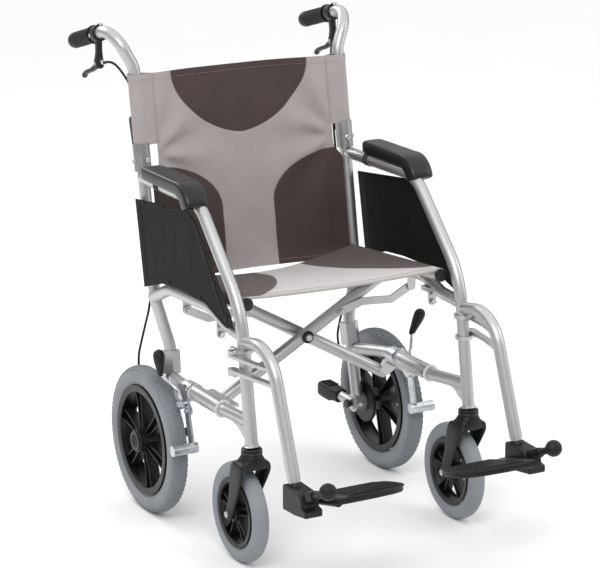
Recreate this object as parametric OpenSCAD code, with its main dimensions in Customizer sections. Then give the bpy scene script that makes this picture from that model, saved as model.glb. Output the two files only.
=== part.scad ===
// Folding attendant wheelchair with swing-away footrests, half-folding back and drum brakes.
// X runs across the chair (+X is the rider's left), -Y is forward and Z is up from the floor.

/* [Frame] */
// Half the distance between the front posts' centre lines
frame_half_w = 245; // [200:1:300]
// Outer diameter of the frame tubes
tube_d = 25; // [20:0.5:30]
// Wall of the frame tubes
tube_wall = 2; // [1.2:0.1:3]
// Rise of the lower rail above the foot of the front post
rail_rise = 34; // [26:1:45]
// Rise of the arm tube above the seat rail's crown
arm_rise = 199; // [165:1:240]
// Backward lean of the back posts in degrees
back_lean = 9.5; // [4:0.5:12]
// Forward lean of the front posts in degrees
front_lean = 8.5; // [4:0.5:11]

/* [Back] */
// Rise of the back hinge pins above the arm tube
hinge_rise = 32; // [28:1:45]
// Rise of the back cloth's top edge above the hinge pins
cloth_rise = 173; // [140:1:230]
// Rise of the push grips' front ends above the cloth
grip_rise = 68; // [60:1:90]
// Length of each push grip
grip_len = 112; // [90:1:140]

/* [Cross brace] */
// Rise of the centre bolt above the lower rails
brace_rise = 89; // [75:1:105]
// Slope of each brace tube in degrees
brace_tilt = 29.7; // [24:0.1:34]
// Length of the two seat tubes
seat_tube_len = 365; // [300:1:440]
// Sag of the seat cloth between the seat tubes
seat_sag = 6; // [2:1:12]

/* [Wheels] */
// Outer diameter of the rear tyres
rear_d = 305; // [250:1:370]
// Width of the rear tyres
rear_w = 40; // [32:1:48]
// Outer diameter of the caster tyres
caster_d = 200; // [160:1:240]
// Width of the caster tyres
caster_w = 32; // [25:1:40]
// Trail of the casters
caster_trail = 50; // [40:1:60]

/* [Footrests] */
// Lean of the footrest tubes in degrees
hanger_lean = 21; // [15:1:25]
// Length of each footplate from front to back
plate_len = 110; // [90:1:135]
// Half the gap between the two footplates
plate_gap = 62; // [40:1:75]
// Thickness of the footplates
plate_t = 12; // [9:1:15]

/* [Arms] */
// Width of the arm pads
pad_w = 51; // [40:1:62]
// Thickness of the arm pads
pad_t = 25; // [18:1:30]
// Length of the level part of the arm pads
pad_len = 148; // [120:1:180]

/* [Hidden] */
$fn = 48;
SIDES = ["right", "left"];
SIDE_NODES = ["rear_post", "front_post", "seat_rail", "lower_rail", "arm_pad", "side_panel",
    "park_brake_mount", "park_brake_lever", "park_brake_shoe", "hub_brake", "rear_wheel",
    "rear_tyre", "caster_fork", "caster_wheel", "caster_tyre", "hanger", "foot_tube",
    "foot_bracket", "footplate", "back_hinge", "handle_post", "back_release", "push_grip",
    "lever_body", "brake_lever", "brake_cable", "tip_pedal"];
MIDDLE_NODES = ["brace_tube_a", "brace_tube_b", "link_right", "link_left", "seat_sling",
    "back_sling"];

silver = [0.75, 0.76, 0.78];
zinc = [0.6, 0.6, 0.62];
black = [0.09, 0.09, 0.1];
rubber = [0.16, 0.16, 0.17];
tyre_grey = [0.45, 0.47, 0.5];
cloth = [0.68, 0.66, 0.65];

weld = 0.05;        // gap at a welded joint
run = 0.05;         // radial clearance of a turning fit
apart = 0.4;        // gap between pieces that move past each other
past = 1;           // how far a cutter runs past what it cuts
edge = 0.985;       // a flat bar's sides, as a share of the discs that they join
swell = 0.06;       // extra radius of a bend over the straight runs that enter it
enter = 1;          // how far a straight run enters a bend

tube_r = tube_d / 2;
axle_y = 116;
axle_z = rear_d / 2;
post_foot_z = caster_d + 51;
stem_y = -279;
rail_z = post_foot_z + rail_rise;
rail_x = frame_half_w - 7;
brace_z = rail_z + brace_rise;
seat_x = frame_half_w - 27;
brace_y_a = -44;
brace_y_b = brace_y_a + tube_d + 1;
brace_y_mid = (brace_y_a + brace_y_b) / 2;
seat_tube_z = brace_z + seat_x * tan(brace_tilt) - 3;
seat_front_y = -213;
seat_fall = 4.6;    // slope of the seat tubes, down to the back, in degrees
crown_z = seat_tube_z - 12;
arm_z = crown_z + arm_rise;
post_x = frame_half_w - 9;
back_base_y = 160;
back_base_z = rail_z + 160;
hinge_z = arm_z + hinge_rise;
cloth_top_z = hinge_z + cloth_rise;
grip_z = cloth_top_z + grip_rise;
grip_y = 341;
grip_x = frame_half_w + 28;
grip_fall = 15;
wheel_x = frame_half_w + 31;
wheel_bore_r = 6;
knob_y = -577;
knob_r = 16;
hang_x = frame_half_w + 1;
length_front = knob_y - knob_r;
length_back = grip_y + (grip_len - 1) * cos(grip_fall) + 4.4;
y_shift = -(length_front + length_back) / 2;

function unit(v) = v / norm(v);
function between(a, b) = acos(max(-1, min(1, a * b)));
function back_y(z) = back_base_y + (z - back_base_z) * tan(back_lean);
function front_y(z) = stem_y + (z - post_foot_z) * tan(front_lean);

// ---- shared shapes

// Children drawn up from the origin point from a towards b
module along(a, b) {
    d = b - a;
    translate(a) rotate([0, acos(d[2] / norm(d)), atan2(d[1], d[0])]) children();
}

module ring(h, r, wall) {
    difference() {
        cylinder(h = h, r = r);
        if (wall > 0) translate([0, 0, -past]) cylinder(h = h + 2 * past, r = r - wall);
    }
}

module rod(a, b, r, wall = 0) {
    along(a, b) ring(norm(b - a), r, wall);
}

// Cylinder along X, centred on x = 0
module cross_rod(len, r) {
    rotate([0, 90, 0]) cylinder(h = len, r = r, center = true);
}

// Bend of centre-line radius bend_r at point p, from direction u to direction w
module elbow(p, u, w, bend_r, r, wall) {
    angle = between(u, w);
    inward = unit(w - u * (u * w));
    c = p - u * bend_r * tan(angle / 2) + inward * bend_r;
    x = -inward;
    z = cross(x, u);
    multmatrix([[x[0], u[0], z[0], c[0]], [x[1], u[1], z[1], c[1]],
                [x[2], u[2], z[2], c[2]], [0, 0, 0, 1]])
        rotate_extrude(angle = angle) translate([bend_r, 0]) difference() {
            circle(r = r + swell);
            if (wall > 0) circle(r = r - wall - swell);
        }
}

// Round tube through pts, bent to the given radius at each inner point
module bent_tube(pts, bends, r, wall = 0) {
    last = len(pts) - 1;
    way = [for (i = [0:last - 1]) unit(pts[i + 1] - pts[i])];
    cut = [for (i = [0:last])
        i == 0 || i == last ? 0 : bends[i] * tan(between(way[i - 1], way[i]) / 2)];
    into = [for (c = cut) c > 0 ? enter : 0];
    union() {
        for (i = [0:last - 1])
            rod(pts[i] + way[i] * (cut[i] - into[i]),
                pts[i + 1] - way[i] * (cut[i + 1] - into[i + 1]), r, wall);
        for (i = [1:last - 1])
            elbow(pts[i], way[i - 1], way[i], bends[i], r, wall);
    }
}

// Flat bar of height h whose round ends have radii ra and rb
module bar(h, a, ra, b, rb) {
    heading = atan2(b[1] - a[1], b[0] - a[0]);
    open = acos((ra - rb) / norm(b - a));
    union() {
        translate(a) cylinder(h = h, r = ra);
        translate(b) cylinder(h = h, r = rb);
        linear_extrude(height = h) polygon([
            a + edge * ra * [cos(heading + open), sin(heading + open)],
            b + edge * rb * [cos(heading + open), sin(heading + open)],
            b + edge * rb * [cos(heading - open), sin(heading - open)],
            a + edge * ra * [cos(heading - open), sin(heading - open)]
        ]);
    }
}

// A (y, z) outline made into a plate from x0 to x1, and a bar between (y, z) points
module side_plate(x0, x1) {
    translate([x0, 0, 0]) rotate([90, 0, 90]) linear_extrude(height = x1 - x0) children();
}

module side_bar(x0, x1, a, ra, b, rb) {
    translate([x0, 0, 0]) rotate([90, 0, 90]) bar(x1 - x0, a, ra, b, rb);
}

// An (x, z) outline made into a plate from y0 to y1, and a bar between (x, z) points
module front_plate(y0, y1) {
    translate([0, y1, 0]) rotate([90, 0, 0]) linear_extrude(height = y1 - y0) children();
}

module front_bar(y0, y1, a, ra, b, rb) {
    translate([0, y1, 0]) rotate([90, 0, 0]) bar(y1 - y0, a, ra, b, rb);
}

// A level bar between (x, y) points, from z0 up
module level_bar(z0, h, a, ra, b, rb) {
    translate([0, 0, z0]) bar(h, a, ra, b, rb);
}

// ---- side frame: the left one, mirrored for the right

post_top_z = hinge_z - 15;
rear_post_path = [
    [post_x, back_y(post_top_z), post_top_z],
    [post_x, back_y(back_base_z - 9), back_base_z - 9],
    [frame_half_w - 34, 143, rail_z + 48],
    [frame_half_w - 28, axle_y + 2, axle_z + 12]
];
lug_z = rail_z + 17;
lug_h = 47;
lug_at = [frame_half_w - 33.5, 139.5, lug_z];
lug_way = unit(rear_post_path[3] - rear_post_path[2]);
block_x = frame_half_w - 27;
tip_tube_x = frame_half_w - 38;
tip_end_y = 238;

module rear_post() {
    color(silver) difference() {
        union() {
            bent_tube(rear_post_path, [0, 90, 70, 0], tube_r, tube_wall);
            along(lug_at - lug_way * lug_h / 2, lug_at)
                cylinder(h = lug_h, r = tube_r + 8, $fn = 6);
            translate([block_x, axle_y, axle_z]) cross_rod(26, 19.5);
            rod([tip_tube_x, axle_y, axle_z + 1], [tip_tube_x, tip_end_y, axle_z + 1], 11, 1.5);
            translate([(block_x + tip_tube_x) / 2, axle_y, axle_z]) cross_rod(24, 14);
        }
        translate([block_x, axle_y, axle_z]) cross_rod(120, wheel_bore_r + run);
    }
}

arm_tube_x = frame_half_w - 3;
front_knee_z = rail_z + 225;
front_post_path = [
    [post_x + 3, back_y(arm_z) - 2, arm_z],
    [frame_half_w, -70, arm_z],
    [frame_half_w, front_y(front_knee_z), front_knee_z],
    [frame_half_w, stem_y, post_foot_z]
];

// The straight upper run of the back post, used to fit tubes to it
module back_post_core(extra) {
    rod([post_x, back_y(back_base_z - 40), back_base_z - 40],
        [post_x, back_y(post_top_z), post_top_z], tube_r + extra);
}

module front_post_core(extra) {
    bent_tube(front_post_path, [0, 90, 180, 0], tube_r + extra);
}

collar_h = 9;

module front_post() {
    color(silver) {
        difference() {
            bent_tube(front_post_path, [0, 90, 180, 0], tube_r, tube_wall);
            back_post_core(weld);
        }
    }
}

seat_rail_path = [
    [post_x + 4, back_base_y - 4, back_base_z - 6],
    [frame_half_w - 3, 70, crown_z - 7],
    [frame_half_w - 3, -115, crown_z],
    [frame_half_w - 3, -180, crown_z - 20],
    [frame_half_w - 1, front_y(crown_z - 25), crown_z - 25]
];
link_pin_z = rail_z + 165;
link_pin_x = frame_half_w - 5;
link_t = 4;
link_y_left = brace_y_a - tube_r - link_t - 1;
link_y_right = brace_y_b + tube_r + 1;
tab_w = 18;

// Strap hanging from the seat rail, its lower end rounded about height z
module hanging_tab(y, z, t) {
    translate([frame_half_w - 5, y, z]) rotate([-90, 0, 0]) cylinder(h = t, r = tab_w / 2);
    translate([frame_half_w - 5 - tab_w / 2, y, z]) cube([tab_w, t, crown_z - 5 - z]);
}

module seat_rail(link_y) {
    color(silver) difference() {
        union() {
            bent_tube(seat_rail_path, [0, 110, 130, 60, 0], tube_r, tube_wall);
            hanging_tab(link_y > brace_y_mid ? link_y + link_t + 1 : link_y - 5, link_pin_z, 4);
            hanging_tab(-148, crown_z - 45, 4);
            // tray under the seat tube
            translate([frame_half_w - 24, -158, crown_z - 22]) cube([14, 26, 9]);
        }
        back_post_core(weld);
        front_post_core(weld);
    }
}

sleeve_y0 = -143;
sleeve_y1 = -27;
lower_rail_path = [
    [frame_half_w - 31, 122, rail_z - 13],
    [rail_x, 24, rail_z],
    [rail_x, sleeve_y0 - 18, rail_z],
    [frame_half_w, front_y(rail_z + 11), rail_z + 11]
];

module lug_core(extra) {
    rod(rear_post_path[2] + lug_way * 5, rear_post_path[3], tube_r + 8 + extra);
}

module lower_rail() {
    color(silver) difference() {
        union() {
            bent_tube(lower_rail_path, [0, 90, 90, 0], tube_r, tube_wall);
            // curved gusset under the front end
            side_plate(frame_half_w - 2, frame_half_w + 2) difference() {
                polygon([[-200, rail_z - 6], [-262, rail_z + 2], [-270, rail_z - 33]]);
                translate([-212, rail_z - 54]) circle(r = 44);
            }
        }
        lug_core(weld);
        front_post_core(weld);
    }
}

pad_front_r = 60;
pad_front_y = -25;
pad_x = frame_half_w + 9.5;

module arm_pad() {
    c = [pad_front_y, arm_z + tube_r + pad_t - pad_front_r];
    color(black) difference() {
        side_plate(pad_x - pad_w / 2, pad_x + pad_w / 2) {
            translate([pad_front_y, arm_z + tube_r]) square([pad_len, pad_t]);
            intersection() {
                translate(c) difference() {
                    circle(r = pad_front_r);
                    circle(r = pad_front_r - pad_t - 3);
                }
                translate(c) polygon([[0, 0], [0, 80], [-80, 80], [-80, 21]]);
            }
        }
        front_post_core(weld);
    }
}

panel_x = frame_half_w + tube_r + 0.6;

module side_panel() {
    color(black) side_plate(panel_x, panel_x + 2.4) polygon([
        [190, arm_z - 42], [-30, arm_z - 17], [-76, arm_z - 28], [-223, crown_z + 18],
        [-236, crown_z - 7], [-210, crown_z - 15], [-168, crown_z - 3], [-115, crown_z + 14],
        [0, crown_z + 13], [70, crown_z + 7], [155, crown_z - 20]
    ]);
}

// ---- parking brake

brake_pin_y = -16;
brake_pin_z = rail_z - 23;
shoe_pin_y = -30;
shoe_pin_z = rail_z - 34;
shoe_r = 11;
shoe_gap = 4.2;
shoe_z = axle_z + 26.5;
shoe_y = axle_y - sqrt(pow(rear_d / 2 + shoe_r + shoe_gap, 2) - pow(shoe_z - axle_z, 2));
lever_x = frame_half_w + 21;
shoe_arm_x = frame_half_w + 14;

module park_brake_mount() {
    color(zinc) difference() {
        union() {
            rod([rail_x, -20, rail_z], [rail_x, 8, rail_z], tube_r + 5);
            side_bar(frame_half_w + 6, frame_half_w + 11,
                [brake_pin_y, brake_pin_z], 11, [-6, rail_z], 14);
            side_bar(frame_half_w + 6, frame_half_w + 11,
                [brake_pin_y, brake_pin_z], 11, [shoe_pin_y, shoe_pin_z], 9);
            // pins of the lever and of the shoe arm
            translate([frame_half_w + 18, brake_pin_y, brake_pin_z]) cross_rod(20, 3.5);
            translate([frame_half_w + 13, shoe_pin_y, shoe_pin_z]) cross_rod(14, 3.5);
            // adjusting bolt under the clamp
            translate([rail_x, -6, rail_z - tube_r - 10]) cylinder(h = 10, r = 6, $fn = 6);
        }
        rod([rail_x, -40, rail_z], [rail_x, 28, rail_z], tube_r + weld);
    }
}

park_grip_low = [frame_half_w + 48, 19, rail_z + 36];
park_grip_top = [frame_half_w + 58, 4, rail_z + 79];

module park_brake_lever() {
    color(zinc) difference() {
        union() {
            translate([lever_x, brake_pin_y, brake_pin_z]) cross_rod(5, 11);
            side_bar(lever_x - 2.5, lever_x + 2.5,
                [brake_pin_y, brake_pin_z], 8, [brake_pin_y + 14, brake_pin_z + 22], 6);
            rod([lever_x, brake_pin_y + 12, brake_pin_z + 19],
                park_grip_low + unit(park_grip_top - park_grip_low) * 4, 5);
            rod(park_grip_low, park_grip_top, 11);
            translate(park_grip_top) sphere(r = 11 + swell);
        }
        translate([lever_x, brake_pin_y, brake_pin_z]) cross_rod(20, 3.5 + run);
    }
}

module park_brake_shoe() {
    color(zinc) difference() {
        union() {
            side_bar(shoe_arm_x - 2.4, shoe_arm_x + 2,
                [shoe_pin_y, shoe_pin_z], 9, [shoe_y, shoe_z], shoe_r - 1);
            translate([wheel_x, shoe_y, shoe_z]) cross_rod(rear_w + 14, shoe_r);
        }
        translate([shoe_arm_x, shoe_pin_y, shoe_pin_z]) cross_rod(20, 3.5 + run);
    }
}

// ---- rear wheels and drum brakes

rim_r = rear_d / 2 - 40;
drum_x0 = block_x + 14;
drum_r = 44;

module hub_brake() {
    color(zinc) {
        // drum plate and axle
        translate([drum_x0, axle_y, axle_z]) rotate([0, 90, 0]) cylinder(h = 5, r = drum_r);
        translate([drum_x0 - 40, axle_y, axle_z]) rotate([0, 90, 0])
            cylinder(h = wheel_x + 30 - drum_x0 + 40, r = wheel_bore_r);
        // cable lever, pointing up and back
        side_bar(drum_x0 - 1, drum_x0 + 3, [axle_y, axle_z], 12, [axle_y + 26, axle_z + 62], 6);
        // axle nut
        translate([drum_x0 - 43, axle_y, axle_z]) rotate([0, 90, 0])
            cylinder(h = 5, r = 10, $fn = 6);
    }
}

module spoked_wheel(outer_r, half_w, hub_r, bore_r, hub_in, hub_out, spokes, spoke_w) {
    difference() {
        union() {
            // rim with a flange each side
            rotate([0, 90, 0]) rotate_extrude() polygon([
                [outer_r - 15, -half_w], [outer_r + 2, -half_w], [outer_r - 3, -half_w + 5],
                [outer_r - 3, half_w - 5], [outer_r + 2, half_w], [outer_r - 15, half_w],
                [outer_r - 18, half_w - 6], [outer_r - 11, 4], [outer_r - 11, -4],
                [outer_r - 18, -half_w + 6]
            ]);
            translate([-hub_in, 0, 0]) rotate([0, 90, 0]) cylinder(h = hub_in + hub_out, r = hub_r);
            for (i = [0:spokes - 1]) rotate([i * 360 / spokes, 0, 0])
                translate([-5, -spoke_w / 2, hub_r - 4])
                    cube([12.6, spoke_w, outer_r - 10 - hub_r]);
        }
        translate([-hub_in - past, 0, 0]) rotate([0, 90, 0])
            cylinder(h = hub_in + hub_out + 2 * past, r = bore_r);
    }
}

module tyre_shape(outer_r, width, seat_r) {
    rotate([0, 90, 0]) rotate_extrude() difference() {
        union() {
            translate([outer_r - width / 2, 0]) circle(r = width / 2);
            translate([seat_r, -width * 0.42]) square([outer_r - width / 2 - seat_r, width * 0.84]);
        }
        translate([seat_r - 10, -width]) square([10, 2 * width]);
    }
}

module rear_wheel() {
    color(black) translate([wheel_x, axle_y, axle_z])
        spoked_wheel(rim_r, rear_w / 2 - 1, 24, wheel_bore_r + run, 14, 33, 6, 15);
}

module rear_tyre() {
    color(tyre_grey) translate([wheel_x, axle_y, axle_z])
        tyre_shape(rear_d / 2, rear_w, rim_r + 2 + weld);
}

// ---- casters

fork_y = stem_y + caster_trail;
caster_rim_r = caster_d / 2 - 32;
caster_axle_r = 4;
cap_h = 14;
fork_top = post_foot_z - cap_h - 3;
fork_in = caster_w / 2 + 4;

module caster_fork() {
    color(black) difference() {
        union() {
            // bearing cap and crown
            translate([frame_half_w, stem_y, fork_top]) cylinder(h = cap_h, r = 19);
            translate([frame_half_w - fork_in - 7, stem_y - 20, fork_top - 18])
                cube([2 * fork_in + 14, 44, 19]);
            for (s = [-1, 1]) translate([frame_half_w + s * (fork_in + 3.5), 0, 0])
                side_bar(-3.5, 3.5, [stem_y + 2, fork_top - 22], 20, [fork_y, caster_d / 2], 14);
            // axle bolt
            translate([frame_half_w, fork_y, caster_d / 2])
                cross_rod(2 * fork_in + 22, caster_axle_r);
            // stem inside the front post
            translate([frame_half_w, stem_y, fork_top + cap_h - 1])
                along([0, 0, 0], [0, sin(front_lean), cos(front_lean)])
                    cylinder(h = 3, r = 8);
        }
    }
}

module caster_wheel() {
    color(black) translate([frame_half_w, fork_y, caster_d / 2])
        spoked_wheel(caster_rim_r, caster_w / 2 - 1, 17, caster_axle_r + run,
            fork_in - apart, fork_in - apart, 5, 12);
}

module caster_tyre() {
    color(tyre_grey) translate([frame_half_w, fork_y, caster_d / 2])
        tyre_shape(caster_d / 2, caster_w, caster_rim_r + 2 + weld);
}

// ---- footrests

hang_z = rail_z + 164;
hang_knee_y = -360;
hang_knee_z = hang_z + 19;
hang_foot_z = rail_z - 51;
hang_drop = hang_knee_z - hang_foot_z;
hang_foot_y = hang_knee_y - hang_drop * tan(hanger_lean);
hang_way = [0, -sin(hanger_lean), -cos(hanger_lean)];
hang_path = [
    [hang_x, front_y(hang_z) - tube_r + 4, hang_z],
    [hang_x, hang_knee_y, hang_knee_z],
    [hang_x, hang_foot_y, hang_foot_z]
];
swing_x = frame_half_w + 24;
swing_y = front_y(hang_z - 40) + 6;
swing_lo = hang_z - 62;
swing_hi = hang_z - 20;

// Clamps on the front post that carry the footrest's pins
module post_clamps() {
    for (z = [swing_lo, swing_hi]) difference() {
        level_bar(z, 7, [frame_half_w, front_y(z + 3)], tube_r + 5, [swing_x, swing_y], 9);
        front_post_core(weld);
        translate([swing_x, swing_y, z - past]) cylinder(h = 7 + 2 * past, r = 4 + run);
    }
}

module hanger() {
    color(silver) {
        difference() {
            bent_tube(hang_path, [0, 80, 0], tube_r, 1.5);
            front_post_core(apart + 0.3);
        }
        // brackets from the pins to the tube
        difference() {
            for (z = [swing_lo + 7 + apart, swing_hi - 6 - apart]) {
                level_bar(z, 6, [swing_x, swing_y], 9, [hang_x + 14, -318], 7);
                level_bar(z, 6, [hang_x + 14, -318], 7,
                    [hang_x + 2, hang_knee_y - (hang_knee_z - z) * tan(hanger_lean) + 14], 8);
            }
            front_post_core(apart + 0.3);
            translate([swing_x, swing_y, swing_lo]) cylinder(h = 60, r = 4 + run);
        }
    }
}

foot_tube_r = tube_r - 1.5 - 0.1;
block_top = hang_foot_z - 7;
block_h = 50;
foot_end_z = hang_foot_z - 58;

function hang_y(z) = hang_foot_y - (hang_foot_z - z) * tan(hanger_lean);

module foot_tube() {
    color(silver) rod([hang_x, hang_y(foot_end_z + 160), foot_end_z + 160],
        [hang_x, hang_y(foot_end_z), foot_end_z], foot_tube_r, 1.5);
}

plate_tilt = 14;
plate_y0 = -464;
plate_z0 = hang_foot_z - 36;
plate_pin_x = frame_half_w - 21;
flip_x = plate_pin_x - 11;
plate_pin_r = 6;

// Children drawn in the footplate's own slope, the front along -Y
module on_slope() {
    translate([0, plate_y0, plate_z0]) rotate([-plate_tilt, 0, 0]) children();
}

module foot_bracket() {
    color(black) difference() {
        union() {
            side_plate(hang_x - 19, hang_x + 19) polygon([
                [hang_foot_y + 8, block_top], [hang_foot_y - 50, block_top - 2],
                [hang_foot_y - 60, block_top - 10], [hang_foot_y - 62, block_top - 28],
                [hang_foot_y - 76, block_top - 30], [hang_foot_y - 76, block_top - 44],
                [hang_foot_y - 30, block_top - block_h],
                [hang_foot_y + 8, block_top - block_h]
            ]);
            // knob that clamps the height, on its neck
            rod([hang_x, hang_foot_y - 50, block_top - 20],
                [hang_x, knob_y, hang_foot_z + 17], 9);
            translate([hang_x, knob_y, hang_foot_z + 17]) sphere(r = knob_r);
        }
        rod([hang_x, hang_y(block_top + 20), block_top + 20],
            [hang_x, hang_y(block_top - 80), block_top - 80], foot_tube_r + weld);
    }
    // lug and hinge pin along the plate's slope
    color(zinc) on_slope() union() {
        translate([flip_x - 8, 2, -10]) cube([block_x + 10 - flip_x, 10, 15]);
        translate([flip_x, -plate_len + 6, -2]) rotate([-90, 0, 0]) cylinder(h = plate_len, r = 4);
    }
}

module footplate() {
    color(black) on_slope() difference() {
        union() {
            translate([plate_gap, -plate_len, -plate_t / 2])
                cube([plate_pin_x - 4 - plate_gap, plate_len, plate_t]);
            translate([flip_x, -plate_len + 12, -2]) rotate([-90, 0, 0])
                cylinder(h = plate_len - 28, r = 9);
            for (y = [-plate_len + 10:14:-10]) translate([plate_gap + 8, y, plate_t / 2 - 1])
                cube([plate_pin_x - plate_gap - 40, 5, 2.5]);
        }
        translate([flip_x, -plate_len - 10, -2]) rotate([-90, 0, 0])
            cylinder(h = plate_len + 20, r = 4 + run);
    }
}

// ---- back

hinge_at = [post_x, back_y(hinge_z), hinge_z];
back_way = [0, sin(back_lean), cos(back_lean)];

module back_hinge() {
    color(black) difference() {
        union() {
            difference() {
                rod(hinge_at - back_way * 22, hinge_at + back_way * 34, tube_r + 5);
                rod(hinge_at - back_way * 40, hinge_at + back_way * 60, tube_r + apart);
                // open to the back above the fixed post
                translate(hinge_at) rotate([-back_lean, 0, 0]) translate([-tube_r - apart, 0, -14])
                    cube([tube_d + 2 * apart, 40, 70]);
            }
            translate(hinge_at) cross_rod(tube_d + 11, 3.5);
        }
    }
}

handle_kink = cloth_top_z + 12;
handle_run = 88;    // from the grip's front end back to the handle's bend
grip_way = [0, cos(grip_fall), -sin(grip_fall)];
grip_at = [grip_x, grip_y, grip_z];
handle_path = [
    hinge_at,
    [post_x, back_y(handle_kink), handle_kink],
    grip_at - grip_way * handle_run,
    grip_at + grip_way * (grip_len - 8)
];

module handle_post() {
    color(silver) difference() {
        union() {
            bent_tube(handle_path, [0, 60, 50, 0], tube_r, tube_wall);
            // rounded eye that turns in the hinge
            translate(hinge_at) sphere(r = tube_r - 0.1);
        }
        translate(hinge_at) cross_rod(60, 3.5 + run);
    }
}

release_pin = [back_y(hinge_z + 14) + tube_r + 9, hinge_z + 14];

module back_release() {
    color(black) difference() {
        side_bar(post_x - 7, post_x + 7, release_pin, 5, release_pin + [14, 62], 8);
        translate([post_x, release_pin[0], release_pin[1]]) cross_rod(40, 2 + run);
    }
}

module push_grip() {
    color(rubber) difference() {
        union() {
            rod(grip_at, grip_at + grip_way * grip_len, 17);
            rod(grip_at, grip_at + grip_way * 6, 19.5);
        }
        rod(grip_at - grip_way * 5, grip_at + grip_way * (grip_len - 6), tube_r + run);
    }
}

lever_at = grip_at - grip_way * 16;
body_way = [0.03, -0.06, -0.99];
lever_pin = lever_at + body_way * 62;

module lever_body() {
    color(black) difference() {
        union() {
            rod(lever_at - grip_way * 10, lever_at + grip_way * 10, tube_r + 5);
            rod(lever_at, lever_pin - body_way * 11, 10);
            translate([lever_pin[0] - 9, lever_pin[1] - 12, lever_pin[2] - 12]) cube([4, 24, 30]);
            translate([lever_pin[0] + 5, lever_pin[1] - 12, lever_pin[2] - 12]) cube([4, 24, 30]);
            translate(lever_pin) cross_rod(20, 3);
            // cable stop
            rod(lever_pin + [0, -9, 14], lever_pin + [0, -22, 6], 4.5);
        }
        rod(lever_at - grip_way * 40, lever_at + grip_way * 40, tube_r + run);
    }
}

module brake_lever() {
    color(black) difference() {
        union() {
            side_bar(lever_pin[0] - 4.5, lever_pin[0] + 4.5,
                [lever_pin[1], lever_pin[2]], 9, [lever_pin[1] + 22, lever_pin[2] - 12], 8);
            side_bar(lever_pin[0] - 4.5, lever_pin[0] + 4.5,
                [lever_pin[1] + 22, lever_pin[2] - 12], 8,
                [lever_pin[1] + 74, lever_pin[2] - 34], 6);
        }
        translate(lever_pin) cross_rod(30, 3 + run);
    }
}

// Route of the drum brake's cable, from the cable stop to the drum's lever
cable_route = [
    [275, 298, 903], [268, 293, 905], [259, 290, 903], [250, 285, 895], [242, 274, 880],
    [234, 261, 860], [226, 249, 832], [221.5, 239, 800], [221, 231, 766], [221, 224, 726],
    [221, 217, 686], [222, 210, 646], [223, 203, 606], [225, 197, 566], [228, 190, 526],
    [231, 184, 486], [236, 178, 446], [239, 182, 408], [240, 200, 368], [240, 219, 330],
    [240, 233, 298], [238, 238, 266], [235, 222, 240], [233, 192, 226], [234, 143, 223]
];
cable_r = 2.5;

function lerp(a, b, t) = a + (b - a) * t;
// Route stretched with the frame so that both ends stay on their parts
cable_from = lever_pin + [0, -24, 5];
cable_to = [drum_x0 + 2, axle_y + 27, axle_z + 71];
route_last = len(cable_route) - 1;
cable_pts = [for (i = [0:route_last]) let (t = i / route_last)
    cable_route[i] + (1 - t) * (cable_from - cable_route[0])
        + t * (cable_to - cable_route[route_last])];

// Round cord swept through pts as one closed polyhedron
module cord(pts, r, sides) {
    n = len(pts);
    way = [for (i = [0:n - 1]) unit(pts[min(i + 1, n - 1)] - pts[max(i - 1, 0)])];
    rings = [for (i = [0:n - 1]) let (a = unit(cross(way[i], [1, 0, 0])), b = cross(way[i], a))
        for (k = [0:sides - 1]) pts[i] + r * (cos(k * 360 / sides) * a + sin(k * 360 / sides) * b)];
    walls = [for (i = [0:n - 2]) for (k = [0:sides - 1]) let (m = (k + 1) % sides)
        [i * sides + k, i * sides + m, (i + 1) * sides + m, (i + 1) * sides + k]];
    ends = [[for (k = [sides - 1:-1:0]) k], [for (k = [0:sides - 1]) (n - 1) * sides + k]];
    polyhedron(points = rings, faces = concat(walls, ends));
}

module brake_cable() {
    color(black) cord(cable_pts, cable_r, 8);
}

module tip_pedal() {
    color(rubber) difference() {
        translate([tip_tube_x - 15, tip_end_y - 38, axle_z - 17]) cube([30, 44, 34]);
        rod([tip_tube_x, tip_end_y - 60, axle_z + 1], [tip_tube_x, tip_end_y + weld, axle_z + 1],
            11 + weld);
    }
}

// ---- folding brace and cloth

brace_slope = [cos(brace_tilt), 0, sin(brace_tilt)];
brace_low = -203 / 245 * frame_half_w;
seat_way = [0, cos(seat_fall), -sin(seat_fall)];
seat_mid_y = (seat_front_y + seat_tube_len / 2 * cos(seat_fall));

function seat_z(y) = seat_tube_z - (y - brace_y_mid) * tan(seat_fall);

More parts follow.
